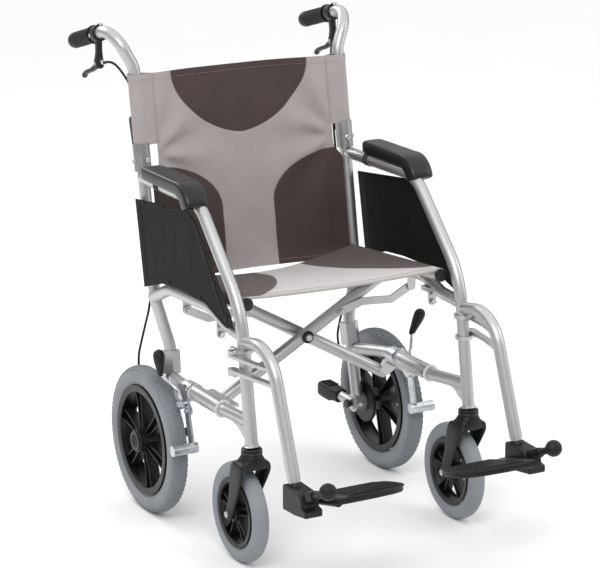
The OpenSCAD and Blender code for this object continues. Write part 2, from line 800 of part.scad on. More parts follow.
// Brace tube running up to the left, its foot hinged on the right lower rail
module brace_tube(y, bolt) {
    slope_len = (seat_x - 8) / cos(brace_tilt);
    low_len = -brace_low / cos(brace_tilt);
    mid = [0, y, brace_z];
    color(silver) difference() {
        union() {
            rod(mid - brace_slope * low_len, mid + brace_slope * slope_len, tube_r);
            // seat tube with its end caps
            rod([seat_x, seat_front_y, seat_z(seat_front_y)],
                [seat_x, seat_front_y + seat_tube_len * cos(seat_fall),
                 seat_z(seat_front_y + seat_tube_len * cos(seat_fall))], 11.5);
            // plate and sleeve on the lower rail
            rod([-rail_x, sleeve_y0 + 2, rail_z], [-rail_x, sleeve_y1 - 2, rail_z], tube_r + 3.5);
            translate([-rail_x + 12, sleeve_y0 + 2, rail_z - 3])
                cube([26, sleeve_y1 - sleeve_y0 - 4, 6]);
            front_plate(min(y, sleeve_y1 - 3) - 3, min(y + 3, sleeve_y1 + 5.5)) polygon([
                [-rail_x + 6, rail_z - 12], [-rail_x + 6, rail_z + 3],
                [-rail_x + 38, rail_z + 3], [brace_low + 20, rail_z - 20], [brace_low, rail_z - 30]
            ]);
            if (bolt) {
                // centre bolt with its washer
                rod([0, y - tube_r - 3, brace_z], [0, y, brace_z], 13);
                rod([0, y - tube_r - 6, brace_z], [0, y, brace_z], 7);
                rod([0, y, brace_z], [0, y + 2 * tube_d, brace_z], 5);
            }
        }
        rod([-rail_x, sleeve_y0 - 20, rail_z], [-rail_x, sleeve_y1 + 20, rail_z], tube_r + run);
        if (!bolt) rod([0, y - 50, brace_z], [0, y + 50, brace_z], 5 + run);
    }
}

module brace_tube_a() {
    brace_tube(brace_y_a, true);
}

module brace_tube_b() {
    mirror([1, 0, 0]) brace_tube(brace_y_b, false);
}

link_q = 90;        // distance of each link's inner bolt from the centre bolt
link_end = [link_q * cos(brace_tilt), brace_z + link_q * sin(brace_tilt)];

// Bowed link from the seat rail's strap to the brace tube
module link(y) {
    a = [link_pin_x, link_pin_z];
    c = [lerp(link_end[0], a[0], 0.72), lerp(link_end[1], a[1], 0.72) - 14];
    b = [lerp(link_end[0], a[0], 0.3), lerp(link_end[1], a[1], 0.3) + 4];
    color(silver) {
        front_bar(y, y + link_t, a, 9, c, 8);
        front_bar(y, y + link_t, c, 8, b, 8);
        front_bar(y, y + link_t, b, 8, link_end, 9);
        // bolts on the open side of each end
        for (p = [[a, y > brace_y_mid], [link_end, y < brace_y_mid]])
            translate([p[0][0], p[1] ? y - 4 : y + link_t - 1, p[0][1]]) rotate([-90, 0, 0])
                cylinder(h = 5, r = 5.5, $fn = 6);
    }
}

module link_left() {
    link(link_y_left);
}

module link_right() {
    mirror([1, 0, 0]) link(link_y_right);
}

sling_t = 2.5;
sling_half = seat_x - 1;
sling_lift = 13.1;    // over the seat tubes' centre line

module seat_sling() {
    bow = (pow(sling_half, 2) + pow(seat_sag, 2)) / (2 * seat_sag);
    color(cloth) translate([0, seat_front_y + 6, seat_z(seat_front_y + 6)])
        rotate([-seat_fall, 0, 0]) translate([0, seat_tube_len - 14, 0]) rotate([90, 0, 0])
            linear_extrude(height = seat_tube_len - 14) intersection() {
                translate([0, sling_lift + bow - seat_sag]) difference() {
                    circle(r = bow + sling_t / 2, $fn = 1440);
                    circle(r = bow - sling_t / 2, $fn = 1440);
                }
                translate([-sling_half, 0]) square([2 * sling_half, sling_lift + 10]);
            }
}

back_cloth_low = crown_z - 18;
back_sag = 18;
back_half = post_x - tube_r - 6;

module back_sling() {
    bow = (pow(back_half, 2) + pow(back_sag, 2)) / (2 * back_sag);
    color(cloth) translate([0, back_y(back_cloth_low), back_cloth_low])
        rotate([-back_lean, 0, 0])
            linear_extrude(height = (cloth_top_z - back_cloth_low) / cos(back_lean))
                intersection() {
                    translate([0, back_sag - bow]) difference() {
                        circle(r = bow + sling_t / 2, $fn = 1440);
                        circle(r = bow - sling_t / 2, $fn = 1440);
                    }
                    translate([-back_half, -4]) square([2 * back_half, back_sag + 10]);
                }
}

// ---- assembly

module on_side(i) {
    translate([0, y_shift, 0]) mirror([i == 0 ? 1 : 0, 0, 0]) children();
}

module in_middle() {
    translate([0, y_shift, 0]) children();
}

for (i = [0, 1]) {
    s = str("_", SIDES[i]);
    on_side(i) rear_post();
    on_side(i) { front_post(); post_clamps(); }
    on_side(i) seat_rail(i == 0 ? link_y_right : link_y_left);
    on_side(i) lower_rail();
    on_side(i) arm_pad();
    on_side(i) side_panel();
    on_side(i) park_brake_mount();
    on_side(i) park_brake_lever();
    on_side(i) park_brake_shoe();
    on_side(i) hub_brake();
    on_side(i) rear_wheel();
    on_side(i) rear_tyre();
    on_side(i) caster_fork();
    on_side(i) caster_wheel();
    on_side(i) caster_tyre();
    on_side(i) hanger();
    on_side(i) foot_tube();
    on_side(i) foot_bracket();
    on_side(i) footplate();
    on_side(i) back_hinge();
    on_side(i) handle_post();
    on_side(i) back_release();
    on_side(i) push_grip();
    on_side(i) lever_body();
    on_side(i) brake_lever();
    on_side(i) brake_cable();
    on_side(i) tip_pedal();
}
in_middle() brace_tube_a();
in_middle() brace_tube_b();
in_middle() link_right();
in_middle() link_left();
in_middle() seat_sling();
in_middle() back_sling();
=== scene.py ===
"""Attendant wheelchair: cloth, tyres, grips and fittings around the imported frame."""
import math
import bmesh
import bpy
from mathutils import Matrix, Vector, noise
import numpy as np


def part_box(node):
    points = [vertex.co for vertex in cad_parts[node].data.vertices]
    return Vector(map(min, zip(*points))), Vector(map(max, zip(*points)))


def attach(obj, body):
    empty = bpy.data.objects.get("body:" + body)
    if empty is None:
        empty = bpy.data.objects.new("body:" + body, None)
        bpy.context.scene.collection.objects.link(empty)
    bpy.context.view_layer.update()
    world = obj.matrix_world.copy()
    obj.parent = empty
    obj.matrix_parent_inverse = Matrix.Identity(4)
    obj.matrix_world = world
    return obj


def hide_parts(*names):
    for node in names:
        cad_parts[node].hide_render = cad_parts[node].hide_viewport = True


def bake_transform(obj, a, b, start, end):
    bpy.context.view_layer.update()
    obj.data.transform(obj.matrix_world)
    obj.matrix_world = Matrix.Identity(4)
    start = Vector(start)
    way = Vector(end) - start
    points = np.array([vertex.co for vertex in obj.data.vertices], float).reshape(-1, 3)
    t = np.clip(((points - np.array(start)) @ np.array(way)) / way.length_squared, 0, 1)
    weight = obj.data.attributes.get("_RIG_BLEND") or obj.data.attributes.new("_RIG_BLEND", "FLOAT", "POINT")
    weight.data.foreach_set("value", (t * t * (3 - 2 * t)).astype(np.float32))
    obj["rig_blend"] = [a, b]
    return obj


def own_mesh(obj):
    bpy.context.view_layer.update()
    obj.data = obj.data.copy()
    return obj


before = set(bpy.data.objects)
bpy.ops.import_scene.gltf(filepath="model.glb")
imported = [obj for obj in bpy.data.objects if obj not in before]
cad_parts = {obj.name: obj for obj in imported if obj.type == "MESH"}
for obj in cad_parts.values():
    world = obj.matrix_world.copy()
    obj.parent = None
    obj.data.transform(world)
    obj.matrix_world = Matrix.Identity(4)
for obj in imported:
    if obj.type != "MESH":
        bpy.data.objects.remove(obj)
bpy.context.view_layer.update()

SIDES = {"right": -1, "left": 1}
UP = Vector((0, 0, 1))
ACROSS = Vector((1, 0, 0))
wheel_low, wheel_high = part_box("rear_wheel_left")
SHIFT = (wheel_low[1] + wheel_high[1]) / 2 - 0.116    # the rear axle is at 116 mm in the plan

POST_X = 0.236
HINGE_Z = 0.7143
BACK_LEAN = math.radians(9.5)
FRONT_LEAN = math.radians(8.5)
SEAT_X = 0.218
SEAT_FALL = math.radians(4.6)
SEAT_SAG = (0.006, 0.025)
SEAT_LIFT = 0.0131
AXLE_Z = 0.1525
BACK_CLOTH_THICK = 0.0013
CLOTH_PITCH = 0.0013      # of the weave, in the two-colour cloth
PANEL_PITCH = 0.0012      # of the weave, in the side panels


def at(x, y, z):
    """A point of the plan, in millimetres, as metres in the frame."""
    return Vector((x / 1000, y / 1000 + SHIFT, z / 1000))


def back_y(z):
    """Centre line of the back post at height z, both in metres."""
    return 0.2051 + SHIFT + (z - HINGE_Z) * math.tan(BACK_LEAN)


SEAT_Z = 0.374 + SEAT_X * math.tan(math.radians(29.7)) - 0.003


def seat_z(y):
    """Centre line of the seat tubes."""
    return SEAT_Z - (y - SHIFT + 0.031) * math.tan(SEAT_FALL)


def ramp(x, low, high):
    """0 below low, 1 above high, smooth between."""
    t = min(1, max(0, (x - low) / (high - low)))
    return t * t * (3 - 2 * t)


# ---- camera, first of all

def aim(eye, forward, roll):
    """World matrix of a camera at eye looking along forward, turned by roll."""
    right = forward.cross(UP).normalized()
    up = right.cross(forward)
    turned = right * math.cos(roll) + up * math.sin(roll)
    over = up * math.cos(roll) - right * math.sin(roll)
    spin = Matrix((turned, over, -forward)).transposed()
    return Matrix.Translation(eye) @ spin.to_4x4()


camera_data = bpy.data.cameras.new("camera")
camera_data.lens = 148.2
camera_data.sensor_width = 36
camera = bpy.data.objects.new("camera", camera_data)
camera.matrix_world = aim(at(-2310.9, -4242.1, 1787.8),
                          Vector((0.4638, 0.8460, -0.2630)).normalized(), -0.00412)
bpy.context.scene.collection.objects.link(camera)
bpy.context.scene.camera = camera


# ---- shaders

class Num:
    """A socket that carries a number; arithmetic on it adds Math nodes."""

    def __init__(self, paint, socket):
        self.paint = paint
        self.socket = socket

    def _math(self, kind, *terms):
        return self.paint.node("Math", {"operation": kind}, dict(enumerate(terms)))

    def __add__(self, other):
        return self._math("ADD", self, other)

    def __radd__(self, other):
        return self._math("ADD", other, self)

    def __sub__(self, other):
        return self._math("SUBTRACT", self, other)

    def __rsub__(self, other):
        return self._math("SUBTRACT", other, self)

    def __mul__(self, other):
        return self._math("MULTIPLY", self, other)

    def __rmul__(self, other):
        return self._math("MULTIPLY", other, self)

    def __truediv__(self, other):
        return self._math("DIVIDE", self, other)

    def __rtruediv__(self, other):
        return self._math("DIVIDE", other, self)

    def power(self, n):
        return self._math("POWER", self, n)

    def size(self):
        return self._math("ABSOLUTE", self)

    def wave(self):
        return self._math("SINE", self)

    def over(self, other):
        return self._math("GREATER_THAN", self, other)

    def least(self, other):
        return self._math("MINIMUM", self, other)

    def most(self, other):
        return self._math("MAXIMUM", self, other)


class Paint:
    """One material, its nodes made by node()."""

    def __init__(self, name, **finish):
        self.material = bpy.data.materials.new(name)
        self.material.use_nodes = True
        self.tree = self.material.node_tree
        self.shader = self.tree.nodes["Principled BSDF"]
        self.feed(**finish)

    def node(self, kind, settings=None, values=None, out=0):
        made = self.tree.nodes.new("ShaderNode" + kind)
        for key, value in (settings or {}).items():
            if key == "stops":
                self._stops(made.color_ramp, value)
            else:
                setattr(made, key, value)
        for key, value in (values or {}).items():
            self._put(value, made.inputs[key])
        return Num(self, made.outputs[out])

    def _stops(self, shades, stops):
        while len(shades.elements) < len(stops):
            shades.elements.new(0.5)
        for element, (place, shade) in zip(shades.elements, stops):
            element.position = place
            element.color = (*shade, 1) if len(shade) == 3 else shade

    def _put(self, value, socket):
        if isinstance(value, Num):
            self.tree.links.new(value.socket, socket)
        elif hasattr(value, "__len__") and len(value) == 3 and socket.type == "RGBA":
            socket.default_value = (*value, 1)
        else:
            socket.default_value = value

    def feed(self, **values):
        for key, value in values.items():
            self._put(value, self.shader.inputs[key.replace("_", " ")])

    def place(self):
        return self.node("TexCoord", out="Object")

    def scaled(self, factors, source=None):
        return self.node("Mapping", None, {"Vector": source or self.place(), "Scale": factors})

    def cloth_map(self):
        return self.node("UVMap", {"uv_map": "cut"})

    def cloudy(self, scale, detail=3, source=None, rough=0.55):
        return self.node("TexNoise", None, {"Vector": source or self.place(), "Scale": scale,
                                            "Detail": detail, "Roughness": rough})

    def blend(self, factor, a, b):
        return self.node("Mix", {"data_type": "RGBA"}, {0: factor, 6: a, 7: b}, 2)

    def bump(self, height, depth, under=None):
        values = {"Height": height, "Distance": depth, "Strength": 1}
        if under:
            values["Normal"] = under
        return self.node("Bump", None, values)


def grey(level, warm=0.0):
    """Linear grey, warmer or, below zero, bluer."""
    return (level * (1 + warm), level, level * (1 - warm))


def frame_paint():
    """Satin silver paint: fine flake, faint flow marks, a random cloud of lighter and darker tone."""
    paint = Paint("frame_silver", Metallic=0.85, Coat_Weight=0.2, Coat_Roughness=0.18)
    flake = paint.cloudy(2600, 1)
    flow = paint.cloudy(38, 4)
    rubbed = paint.cloudy(9, 5)
    shade = paint.node("ValToRGB", {"stops": [(0.3, grey(0.44, -0.004)), (0.7, grey(0.56, -0.006))]},
                       {"Fac": flake * 0.6 + rubbed * 0.4})
    paint.feed(Base_Color=shade, Roughness=0.27 + 0.12 * flow + 0.05 * flake)
    paint.feed(Normal=paint.bump(flow * 0.7 + flake * 0.3, 0.00008))
    return paint.material


def zinc_plate():
    """Bright zinc with a bluish cloud and fine drawn lines."""
    paint = Paint("zinc_steel", Metallic=1.0)
    cloud = paint.cloudy(70, 4)
    lines = paint.cloudy(500, 2, paint.scaled((0.05, 1, 1)))
    shade = paint.node("ValToRGB", {"stops": [(0.3, (0.42, 0.45, 0.50)), (0.72, (0.74, 0.75, 0.76))]},
                       {"Fac": cloud})
    paint.feed(Base_Color=shade, Roughness=0.2 + 0.22 * lines)
    paint.feed(Normal=paint.bump(lines, 0.00005))
    return paint.material


def moulded(name, level, rough, grain, depth, warm=0.02, **finish):
    """Moulded plastic or rubber with a fine grain and a random cloud of lighter and darker tone."""
    paint = Paint(name, **finish)
    pits = paint.node("TexVoronoi", None, {"Vector": paint.place(), "Scale": grain})
    cloud = paint.cloudy(24, 4)
    fine = paint.cloudy(grain * 1.7, 2)
    shade = paint.node("ValToRGB", {"stops": [(0.25, grey(level * 0.8, warm)),
                                              (0.75, grey(level * 1.3, warm))]}, {"Fac": cloud})
    paint.feed(Base_Color=shade, Roughness=rough + 0.14 * (cloud - 0.5) + 0.06 * fine)
    paint.feed(Normal=paint.bump(pits * 0.6 + fine * 0.4, depth))
    return paint.material


def tyre_rubber():
    """Blue-grey rubber with a random cloud of lighter and darker tone."""
    paint = Paint("tyre_grey", Specular_IOR_Level=0.4)
    cloud = paint.cloudy(16, 5)
    fine = paint.cloudy(900, 2)
    shade = paint.node("ValToRGB", {"stops": [(0.25, (0.190, 0.205, 0.225)),
                                              (0.75, (0.262, 0.280, 0.303))]},
                       {"Fac": cloud * 0.8 + fine * 0.2})
    paint.feed(Base_Color=shade, Roughness=0.45 + 0.2 * cloud)
    paint.feed(Normal=paint.bump(fine, 0.00006))
    return paint.material


def weave(paint, pitch):
    """Height of a plain weave of the given pitch, 0 to 1, on the cut's own map."""
    where = paint.node("SeparateXYZ", None, {0: paint.cloth_map()}, 0)
    up = Num(paint, where.socket.node.outputs[1])
    turn = 2 * math.pi / pitch
    warp = (where * turn).wave()
    weft = (up * turn).wave()
    return where, up, 0.5 + 0.25 * (warp * weft + warp.size().most(weft.size()))


LIGHT = (0.475, 0.428, 0.425)
BROWN = (0.082, 0.058, 0.055)
# Seat brown: the back cloth's brown painted brighter, as painted light falling on the upward-facing seat.
SEAT_BROWN_PAINTED_LIT = (0.150, 0.118, 0.108)


def cloth_paint(name, region, dark, plain=LIGHT):
    """Two-colour woven nylon; region(u, v) is over 0 inside the dark panels."""
    paint = Paint(name, Sheen_Weight=0.12, Sheen_Roughness=0.4, Specular_IOR_Level=0.25)
    u, v, threads = weave(paint, CLOTH_PITCH)
    wander = paint.cloudy(22, 4, paint.cloth_map())
    edge = region(u, v)
    inside = edge.over(0)
    fleck = paint.cloudy(1400, 2, paint.cloth_map())
    light = paint.blend(wander, plain, tuple(c * 0.80 for c in plain))
    deep = paint.blend(wander, dark, tuple(c * 0.66 for c in dark))
    both = paint.blend(inside, light, deep)
    pile = paint.blend(0.20 * fleck + 0.1 * threads, both, tuple(c * 0.5 for c in dark))
    seam = 1 - (edge.size() / 0.0011).least(1)
    lit = paint.blend(0.75 * seam, pile, tuple(c * 0.35 for c in plain))
    paint.feed(Base_Color=lit, Roughness=0.78 + 0.12 * fleck)
    rolled = (edge.size() / 0.004).least(1)
    low = paint.bump(rolled, 0.0006)
    paint.feed(Normal=paint.bump(threads * 0.7 + fleck * 0.3, 0.00022, low))
    return paint.material


def back_region(u, v):
    """Half-moon at the top and a patch at each lower corner, as signed distances."""
    x = u.size()
    drop = (HINGE_Z + 0.172 - v).most(0)
    moon = 1 - ((x / 0.158).power(1.62) + (drop / 0.139).power(1.85))
    rise = (v - 0.600).most(0)
    reach = (0.226 - x).most(0)
    corner = 1 - ((reach / 0.166).power(2.1) + (rise / 0.098).power(1.9))
    return (moon * 0.07).most(corner * 0.06)


def seat_region(u, v):
    """A rounded patch at each side of the seat."""
    right = (0.311 - v).most(0) / 0.331
    near = 1 - (((0.2185 + u).most(0) / 0.200).power(1.3) + right.power(1.6))
    left = (0.330 - v).most(0) / 0.300
    far = 1 - (((0.2185 - u).most(0) / 0.126).power(1.6) + left.power(2.2))
    return (near * 0.09).most(far * 0.07)


def panel_paint():
    """Black coated cloth, faintly glossy over a fine weave."""
    paint = Paint("panel_cloth", Specular_IOR_Level=0.10)
    threads = weave(paint, PANEL_PITCH)[2]
    cloud = paint.cloudy(18, 5, paint.cloth_map())
    fleck = paint.cloudy(1100, 2, paint.cloth_map())
    shade = paint.blend(cloud * 0.7 + fleck * 0.3, (0.0100, 0.0085, 0.0074), (0.0165, 0.0140, 0.0122))
    paint.feed(Base_Color=shade, Roughness=0.50 + 0.16 * cloud)
    paint.feed(Normal=paint.bump(threads * 0.6 + cloud * 0.4, 0.0002))
    return paint.material


def thread_paint(name, shade):
    """Twisted sewing thread."""
    paint = Paint(name, Sheen_Weight=0.2)
    twist = paint.cloudy(3000, 1)
    paint.feed(Base_Color=paint.blend(twist, shade, tuple(c * 0.6 for c in shade)),
               Roughness=0.7 + 0.1 * twist)
    return paint.material


PAINTS = {
    "frame_silver": frame_paint(),
    "zinc_steel": zinc_plate(),
    "black_plastic": moulded("black_plastic", 0.0075, 0.36, 1300, 0.00007,
                             Specular_IOR_Level=0.30),
    "pad_black": moulded("pad_black", 0.0070, 0.30, 620, 0.00016, Coat_Weight=0.10,
                         Coat_Roughness=0.25, Specular_IOR_Level=0.40),
    "grip_rubber": moulded("grip_rubber", 0.0070, 0.44, 900, 0.0001, Specular_IOR_Level=0.30),
    "tyre_grey": tyre_rubber(),
    "panel_cloth": panel_paint(),
    "white_nylon": moulded("white_nylon", 0.62, 0.35, 700, 0.00005, 0.01),
    "rim_black": moulded("rim_black", 0.0070, 0.32, 1100, 0.00006, Specular_IOR_Level=0.35),
    "dark_casting": moulded("dark_casting", 0.30, 0.34, 500, 0.00012, 0.0, Metallic=0.8),
    "back_cloth": cloth_paint("back_cloth", back_region, BROWN),
    # Seat cloth: the same fabric as the back, its light (0.78, 0.75, 0.745) and its brown painted brighter
    # as painted light from above.
    "seat_cloth": cloth_paint("seat_cloth", seat_region, SEAT_BROWN_PAINTED_LIT, (0.78, 0.75, 0.745)),
    "light_thread": thread_paint("light_thread", (0.50, 0.46, 0.44)),
    "dark_thread": thread_paint("dark_thread", (0.10, 0.08, 0.075)),
    "black_thread": thread_paint("black_thread", (0.02, 0.019, 0.018)),
}


# ---- mesh building

class Shape:
    """Points and faces gathered from simple swept, turned and cut forms."""

    def __init__(self):
        self.points = []
        self.faces = []

    def add(self, points, faces):
        base = len(self.points)
        self.points += [Vector(p) for p in points]
        self.faces += [[base + i for i in face] for face in faces]

    def loft(self, rings, closed=False, caps=True):
        """Skin over rings of equal length; closed joins the last ring to the first."""
        n = len(rings[0])
        last = len(rings) if closed else len(rings) - 1
        faces = []
        for i in range(last):
            j = (i + 1) % len(rings)
            for k in range(n):
                m = (k + 1) % n
                faces.append((i * n + k, i * n + m, j * n + m, j * n + k))
        points = [p for ring in rings for p in ring]
        if caps and not closed:
            faces.append(tuple(range(n - 1, -1, -1)))
            faces.append(tuple((len(rings) - 1) * n + k for k in range(n)))
        self.add(points, faces)

    def sweep(self, path, section, side=None, closed=False):
        """Rings of section(i) offsets carried along path; side is the first offset's way."""
        path = [Vector(p) for p in path]
        hint = Vector(side) if side is not None else None
        rings = []
        count = len(path)
        for i, p in enumerate(path):
            before = path[i - 1] if i > 0 or closed else path[0]
            after = path[(i + 1) % count] if i < count - 1 or closed else path[-1]
            way = (after - before).normalized()
            if hint is None:
                hint = way.orthogonal()
            across = (hint - way * hint.dot(way)).normalized()
            over = way.cross(across)
            if side is None:
                hint = across
            rings.append([p + across * a + over * b for a, b in section(i)])
        self.loft(rings, closed)

    def tube(self, path, radius, sides=20, side=None):
        """Round tube; radius is a number or a list, one for each point of the path."""
        size = radius if hasattr(radius, "__len__") else [radius] * len(path)
        turn = 2 * math.pi / sides
        self.sweep(path, lambda i: [(size[i] * math.cos(k * turn), size[i] * math.sin(k * turn))
                                    for k in range(sides)], side)

    def turned(self, centre, axis, profile, sides=48, closed=False):
        """Profile of (along, radius) pairs turned about the axis."""
        axis = Vector(axis).normalized()
        first = axis.orthogonal().normalized()
        second = axis.cross(first)
        turn = 2 * math.pi / sides
        rings = []
        for reach, r in profile:
            rings.append([Vector(centre) + axis * reach + r * (first * math.cos(k * turn)
                                                               + second * math.sin(k * turn))
                          for k in range(sides)])
        self.loft(rings, closed, caps=not closed)

    def slab(self, outline, across, thickness, edge=0.0008):
        """Flat plate: outline points, thickness split each way along across, eased edges."""
        outline = [Vector(p) for p in outline]
        across = Vector(across).normalized()
        centre = sum(outline, Vector()) / len(outline)
        half = thickness / 2
        rings = []
        for reach, inset in ((-half, edge), (-half + edge, 0), (half - edge, 0), (half, edge)):
            ring = []
            for p in outline:
                inward = (centre - p)
                ring.append(p + across * reach + inward.normalized() * inset)
            rings.append(ring)
        self.loft(rings)

    def finish(self, name, paint, body, slot, replaces=(), smooth=40, weld=0.00002, keep=False):
        mesh = bpy.data.meshes.new(name)
        mesh.from_pydata([tuple(p) for p in self.points], [], self.faces)
        form = bmesh.new()
        form.from_mesh(mesh)
        bmesh.ops.remove_doubles(form, verts=form.verts, dist=weld)
        bmesh.ops.recalc_face_normals(form, faces=form.faces)
        form.to_mesh(mesh)
        form.free()
        return place(name, mesh, paint, body, slot, replaces, smooth, keep)


def place(name, mesh, paint, body, slot, replaces=(), smooth=40, keep=False):
    """Makes the mesh a piece that rides on a body and stands for CAD nodes."""
    mesh.materials.clear()
    mesh.materials.append(PAINTS[paint])
    mesh.polygons.foreach_set("use_smooth", [True] * len(mesh.polygons))
    mesh.set_sharp_from_angle(angle=math.radians(smooth))
    piece = bpy.data.objects.new(name, mesh)
    bpy.context.scene.collection.objects.link(piece)
    if not keep:
        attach(piece, body)
    if replaces:
        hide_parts(*replaces)
    return piece


def curve_points(points, count):
    """Count points along a smooth curve through the given ones."""
    points = [Vector(p) for p in points]
    ends = [2 * points[0] - points[1], *points, 2 * points[-1] - points[-2]]
    made = []
    spans = len(points) - 1
    for i in range(count):
        t = i / (count - 1) * spans
        k = min(int(t), spans - 1)
        t -= k
        a, b, c, d = ends[k:k + 4]
        made.append(0.5 * ((2 * b) + (c - a) * t + (2 * a - 5 * b + 4 * c - d) * t * t
                           + (3 * b - a - 3 * c + d) * t ** 3))
    return made


def squared(a, b, n, count, lift=0.0):
    """Section like a rectangle with round corners: half sizes a and b, sharpness n."""
    made = []
    for k in range(count):
        t = 2 * math.pi * k / count
        c, s = math.cos(t), math.sin(t)
        made.append((math.copysign(abs(c) ** (2 / n), c) * a,
                     math.copysign(abs(s) ** (2 / n), s) * b + lift))
    return made


# ---- repeated fittings, set out by one node tree for each kind

def shape_nodes(tree, kind):
    """The unit shape that a tree repeats: 1 across and 1 high, standing on z = 0."""
    def make(name, values):
        made = tree.nodes.new(name)
        for key, value in values.items():
            made.inputs[key].default_value = value
        return made.outputs[0]

    def shifted(shape, key, value):
        step = tree.nodes.new("GeometryNodeTransform")
        step.inputs[key].default_value = value
        tree.links.new(shape, step.inputs["Geometry"])
        return step.outputs[0]

    if kind == "bolt":
        head = make("GeometryNodeMeshCylinder", {"Vertices": 20, "Radius": 0.5, "Depth": 0.7})
        dome = make("GeometryNodeMeshCone", {"Vertices": 20, "Radius Bottom": 0.5,
                                             "Radius Top": 0.36, "Depth": 0.3})
        lift = shifted(head, "Translation", (0, 0, 0.35))
        cap = shifted(dome, "Translation", (0, 0, 0.7))
        key = make("GeometryNodeMeshCylinder", {"Vertices": 6, "Radius": 0.26, "Depth": 1.0})
        sink = shifted(key, "Translation", (0, 0, 1.05))
        cut = tree.nodes.new("GeometryNodeMeshBoolean")
        cut.operation = "DIFFERENCE"
        both = tree.nodes.new("GeometryNodeMeshBoolean")
        both.operation = "UNION"
        tree.links.new(lift, both.inputs["Mesh 2"])
        tree.links.new(cap, both.inputs["Mesh 2"])
        tree.links.new(both.outputs[0], cut.inputs["Mesh 1"])
        tree.links.new(sink, cut.inputs["Mesh 2"])
        return cut.outputs[0]
    if kind == "bar":
        block = make("GeometryNodeMeshCone", {"Vertices": 4, "Radius Bottom": 0.7071,
                                              "Radius Top": 0.52, "Depth": 1.0})
        return shifted(block, "Rotation", (0, 0, math.pi / 4))
    return make("GeometryNodeMeshUVSphere", {"Segments": 8, "Rings": 5, "Radius": 0.5})


def repeat_tree(kind):
    """Instances of a unit shape on the spots, set up by their aim and along vectors."""
    tree = bpy.data.node_groups.new("repeat_" + kind, "GeometryNodeTree")
    for label, socket in (("Spots", "Geometry"), ("Length", "Float"), ("Width", "Float"),
                          ("Height", "Float"), ("Spread", "Float"), ("Seed", "Int"),
                          ("Finish", "Material")):
        tree.interface.new_socket(label, in_out="INPUT", socket_type="NodeSocket" + socket)
    tree.interface.new_socket("Pieces", in_out="OUTPUT", socket_type="NodeSocketGeometry")
    given = tree.nodes.new("NodeGroupInput")
    result = tree.nodes.new("NodeGroupOutput")
    link = tree.links.new
    turns = []
    for attribute, axis in (("aim", "Z"), ("along", "X")):
        read = tree.nodes.new("GeometryNodeInputNamedAttribute")
        read.data_type = "FLOAT_VECTOR"
        read.inputs["Name"].default_value = attribute
        turn = tree.nodes.new("FunctionNodeAlignRotationToVector")
        turn.axis = axis
        link(read.outputs[0], turn.inputs["Vector"])
        turns.append(turn)
    turns[1].pivot_axis = "Z"
    link(turns[0].outputs[0], turns[1].inputs["Rotation"])
    size = tree.nodes.new("ShaderNodeCombineXYZ")
    for axis, label in zip("XYZ", ("Length", "Width", "Height")):
        link(given.outputs[label], size.inputs[axis])
    vary = tree.nodes.new("FunctionNodeRandomValue")
    vary.data_type = "FLOAT"
    low = tree.nodes.new("ShaderNodeMath")
    low.operation = "SUBTRACT"
    low.inputs[0].default_value = 1.0
    link(given.outputs["Spread"], low.inputs[1])
    link(low.outputs[0], vary.inputs[2])
    vary.inputs[3].default_value = 1.0
    link(given.outputs["Seed"], vary.inputs["Seed"])
    scale = tree.nodes.new("ShaderNodeVectorMath")
    scale.operation = "SCALE"
    link(size.outputs[0], scale.inputs[0])
    link(vary.outputs[1], scale.inputs["Scale"])
    stand = tree.nodes.new("GeometryNodeInstanceOnPoints")
    link(given.outputs["Spots"], stand.inputs["Points"])
    link(shape_nodes(tree, kind), stand.inputs["Instance"])
    link(turns[1].outputs[0], stand.inputs["Rotation"])
    link(scale.outputs[0], stand.inputs["Scale"])
    real = tree.nodes.new("GeometryNodeRealizeInstances")
    link(stand.outputs[0], real.inputs[0])
    finish = tree.nodes.new("GeometryNodeSetMaterial")
    link(real.outputs[0], finish.inputs["Geometry"])
    link(given.outputs["Finish"], finish.inputs["Material"])
    link(finish.outputs[0], result.inputs[0])
    return tree


TREES = {kind: repeat_tree(kind) for kind in ("bolt", "bar", "stitch")}


def repeat(name, kind, spots, sizes, paint, body, slot, spread=0.0, keep=False):
    """One piece of many equal shapes: spots are (point, aim, along) triples."""
    mesh = bpy.data.meshes.new(name + "_spots")
    mesh.from_pydata([tuple(s[0]) for s in spots], [], [])
    for i, label in ((1, "aim"), (2, "along")):
        layer = mesh.attributes.new(label, "FLOAT_VECTOR", "POINT")
        for value, spot in zip(layer.data, spots):
            value.vector = tuple(spot[i])
    holder = bpy.data.objects.new(name + "_spots", mesh)
    bpy.context.scene.collection.objects.link(holder)
    step = holder.modifiers.new("repeat", "NODES")
    step.node_group = TREES[kind]
    named = {item.name: item.identifier for item in TREES[kind].interface.items_tree
             if item.in_out == "INPUT"}
    wanted = dict(zip(("Length", "Width", "Height"), sizes))
    wanted.update({"Spread": spread, "Seed": 7, "Finish": PAINTS[paint]})
    for label, value in wanted.items():
        step[named[label]] = value
    seen = bpy.context.evaluated_depsgraph_get()
    made = bpy.data.meshes.new_from_object(holder.evaluated_get(seen))
    made.name = name
    bpy.data.objects.remove(holder)
    bpy.data.meshes.remove(mesh)
    for layer in [a for a in made.attributes if a.name in ("aim", "along")]:
        made.attributes.remove(layer)
    return place(name, made, paint, body, slot, smooth=35, keep=keep)


def bolts(name, spots, size, height, body, paint="zinc_steel", slot="zinc_steel"):
    """Cap screws whose heads stand on the given (point, aim) pairs."""
    full = [(p, Vector(aim), Vector(aim).orthogonal()) for p, aim in spots]
    return repeat(name, "bolt", full, (size, size, height), paint, body, slot)


# ---- back cloth

CLOTH_TOP = 0.8873
SLEEVE_LOW = 0.746
SHEET_HALF = 0.203
SLEEVE_R = 0.0141
BACK_LOW = 0.4655
FRONT_OFF = 0.0141


def back_front(x):
    """How far behind the posts' centre line the cloth's middle surface lies."""
    return -FRONT_OFF + 0.025 * (1 - (x / POST_X) ** 2)


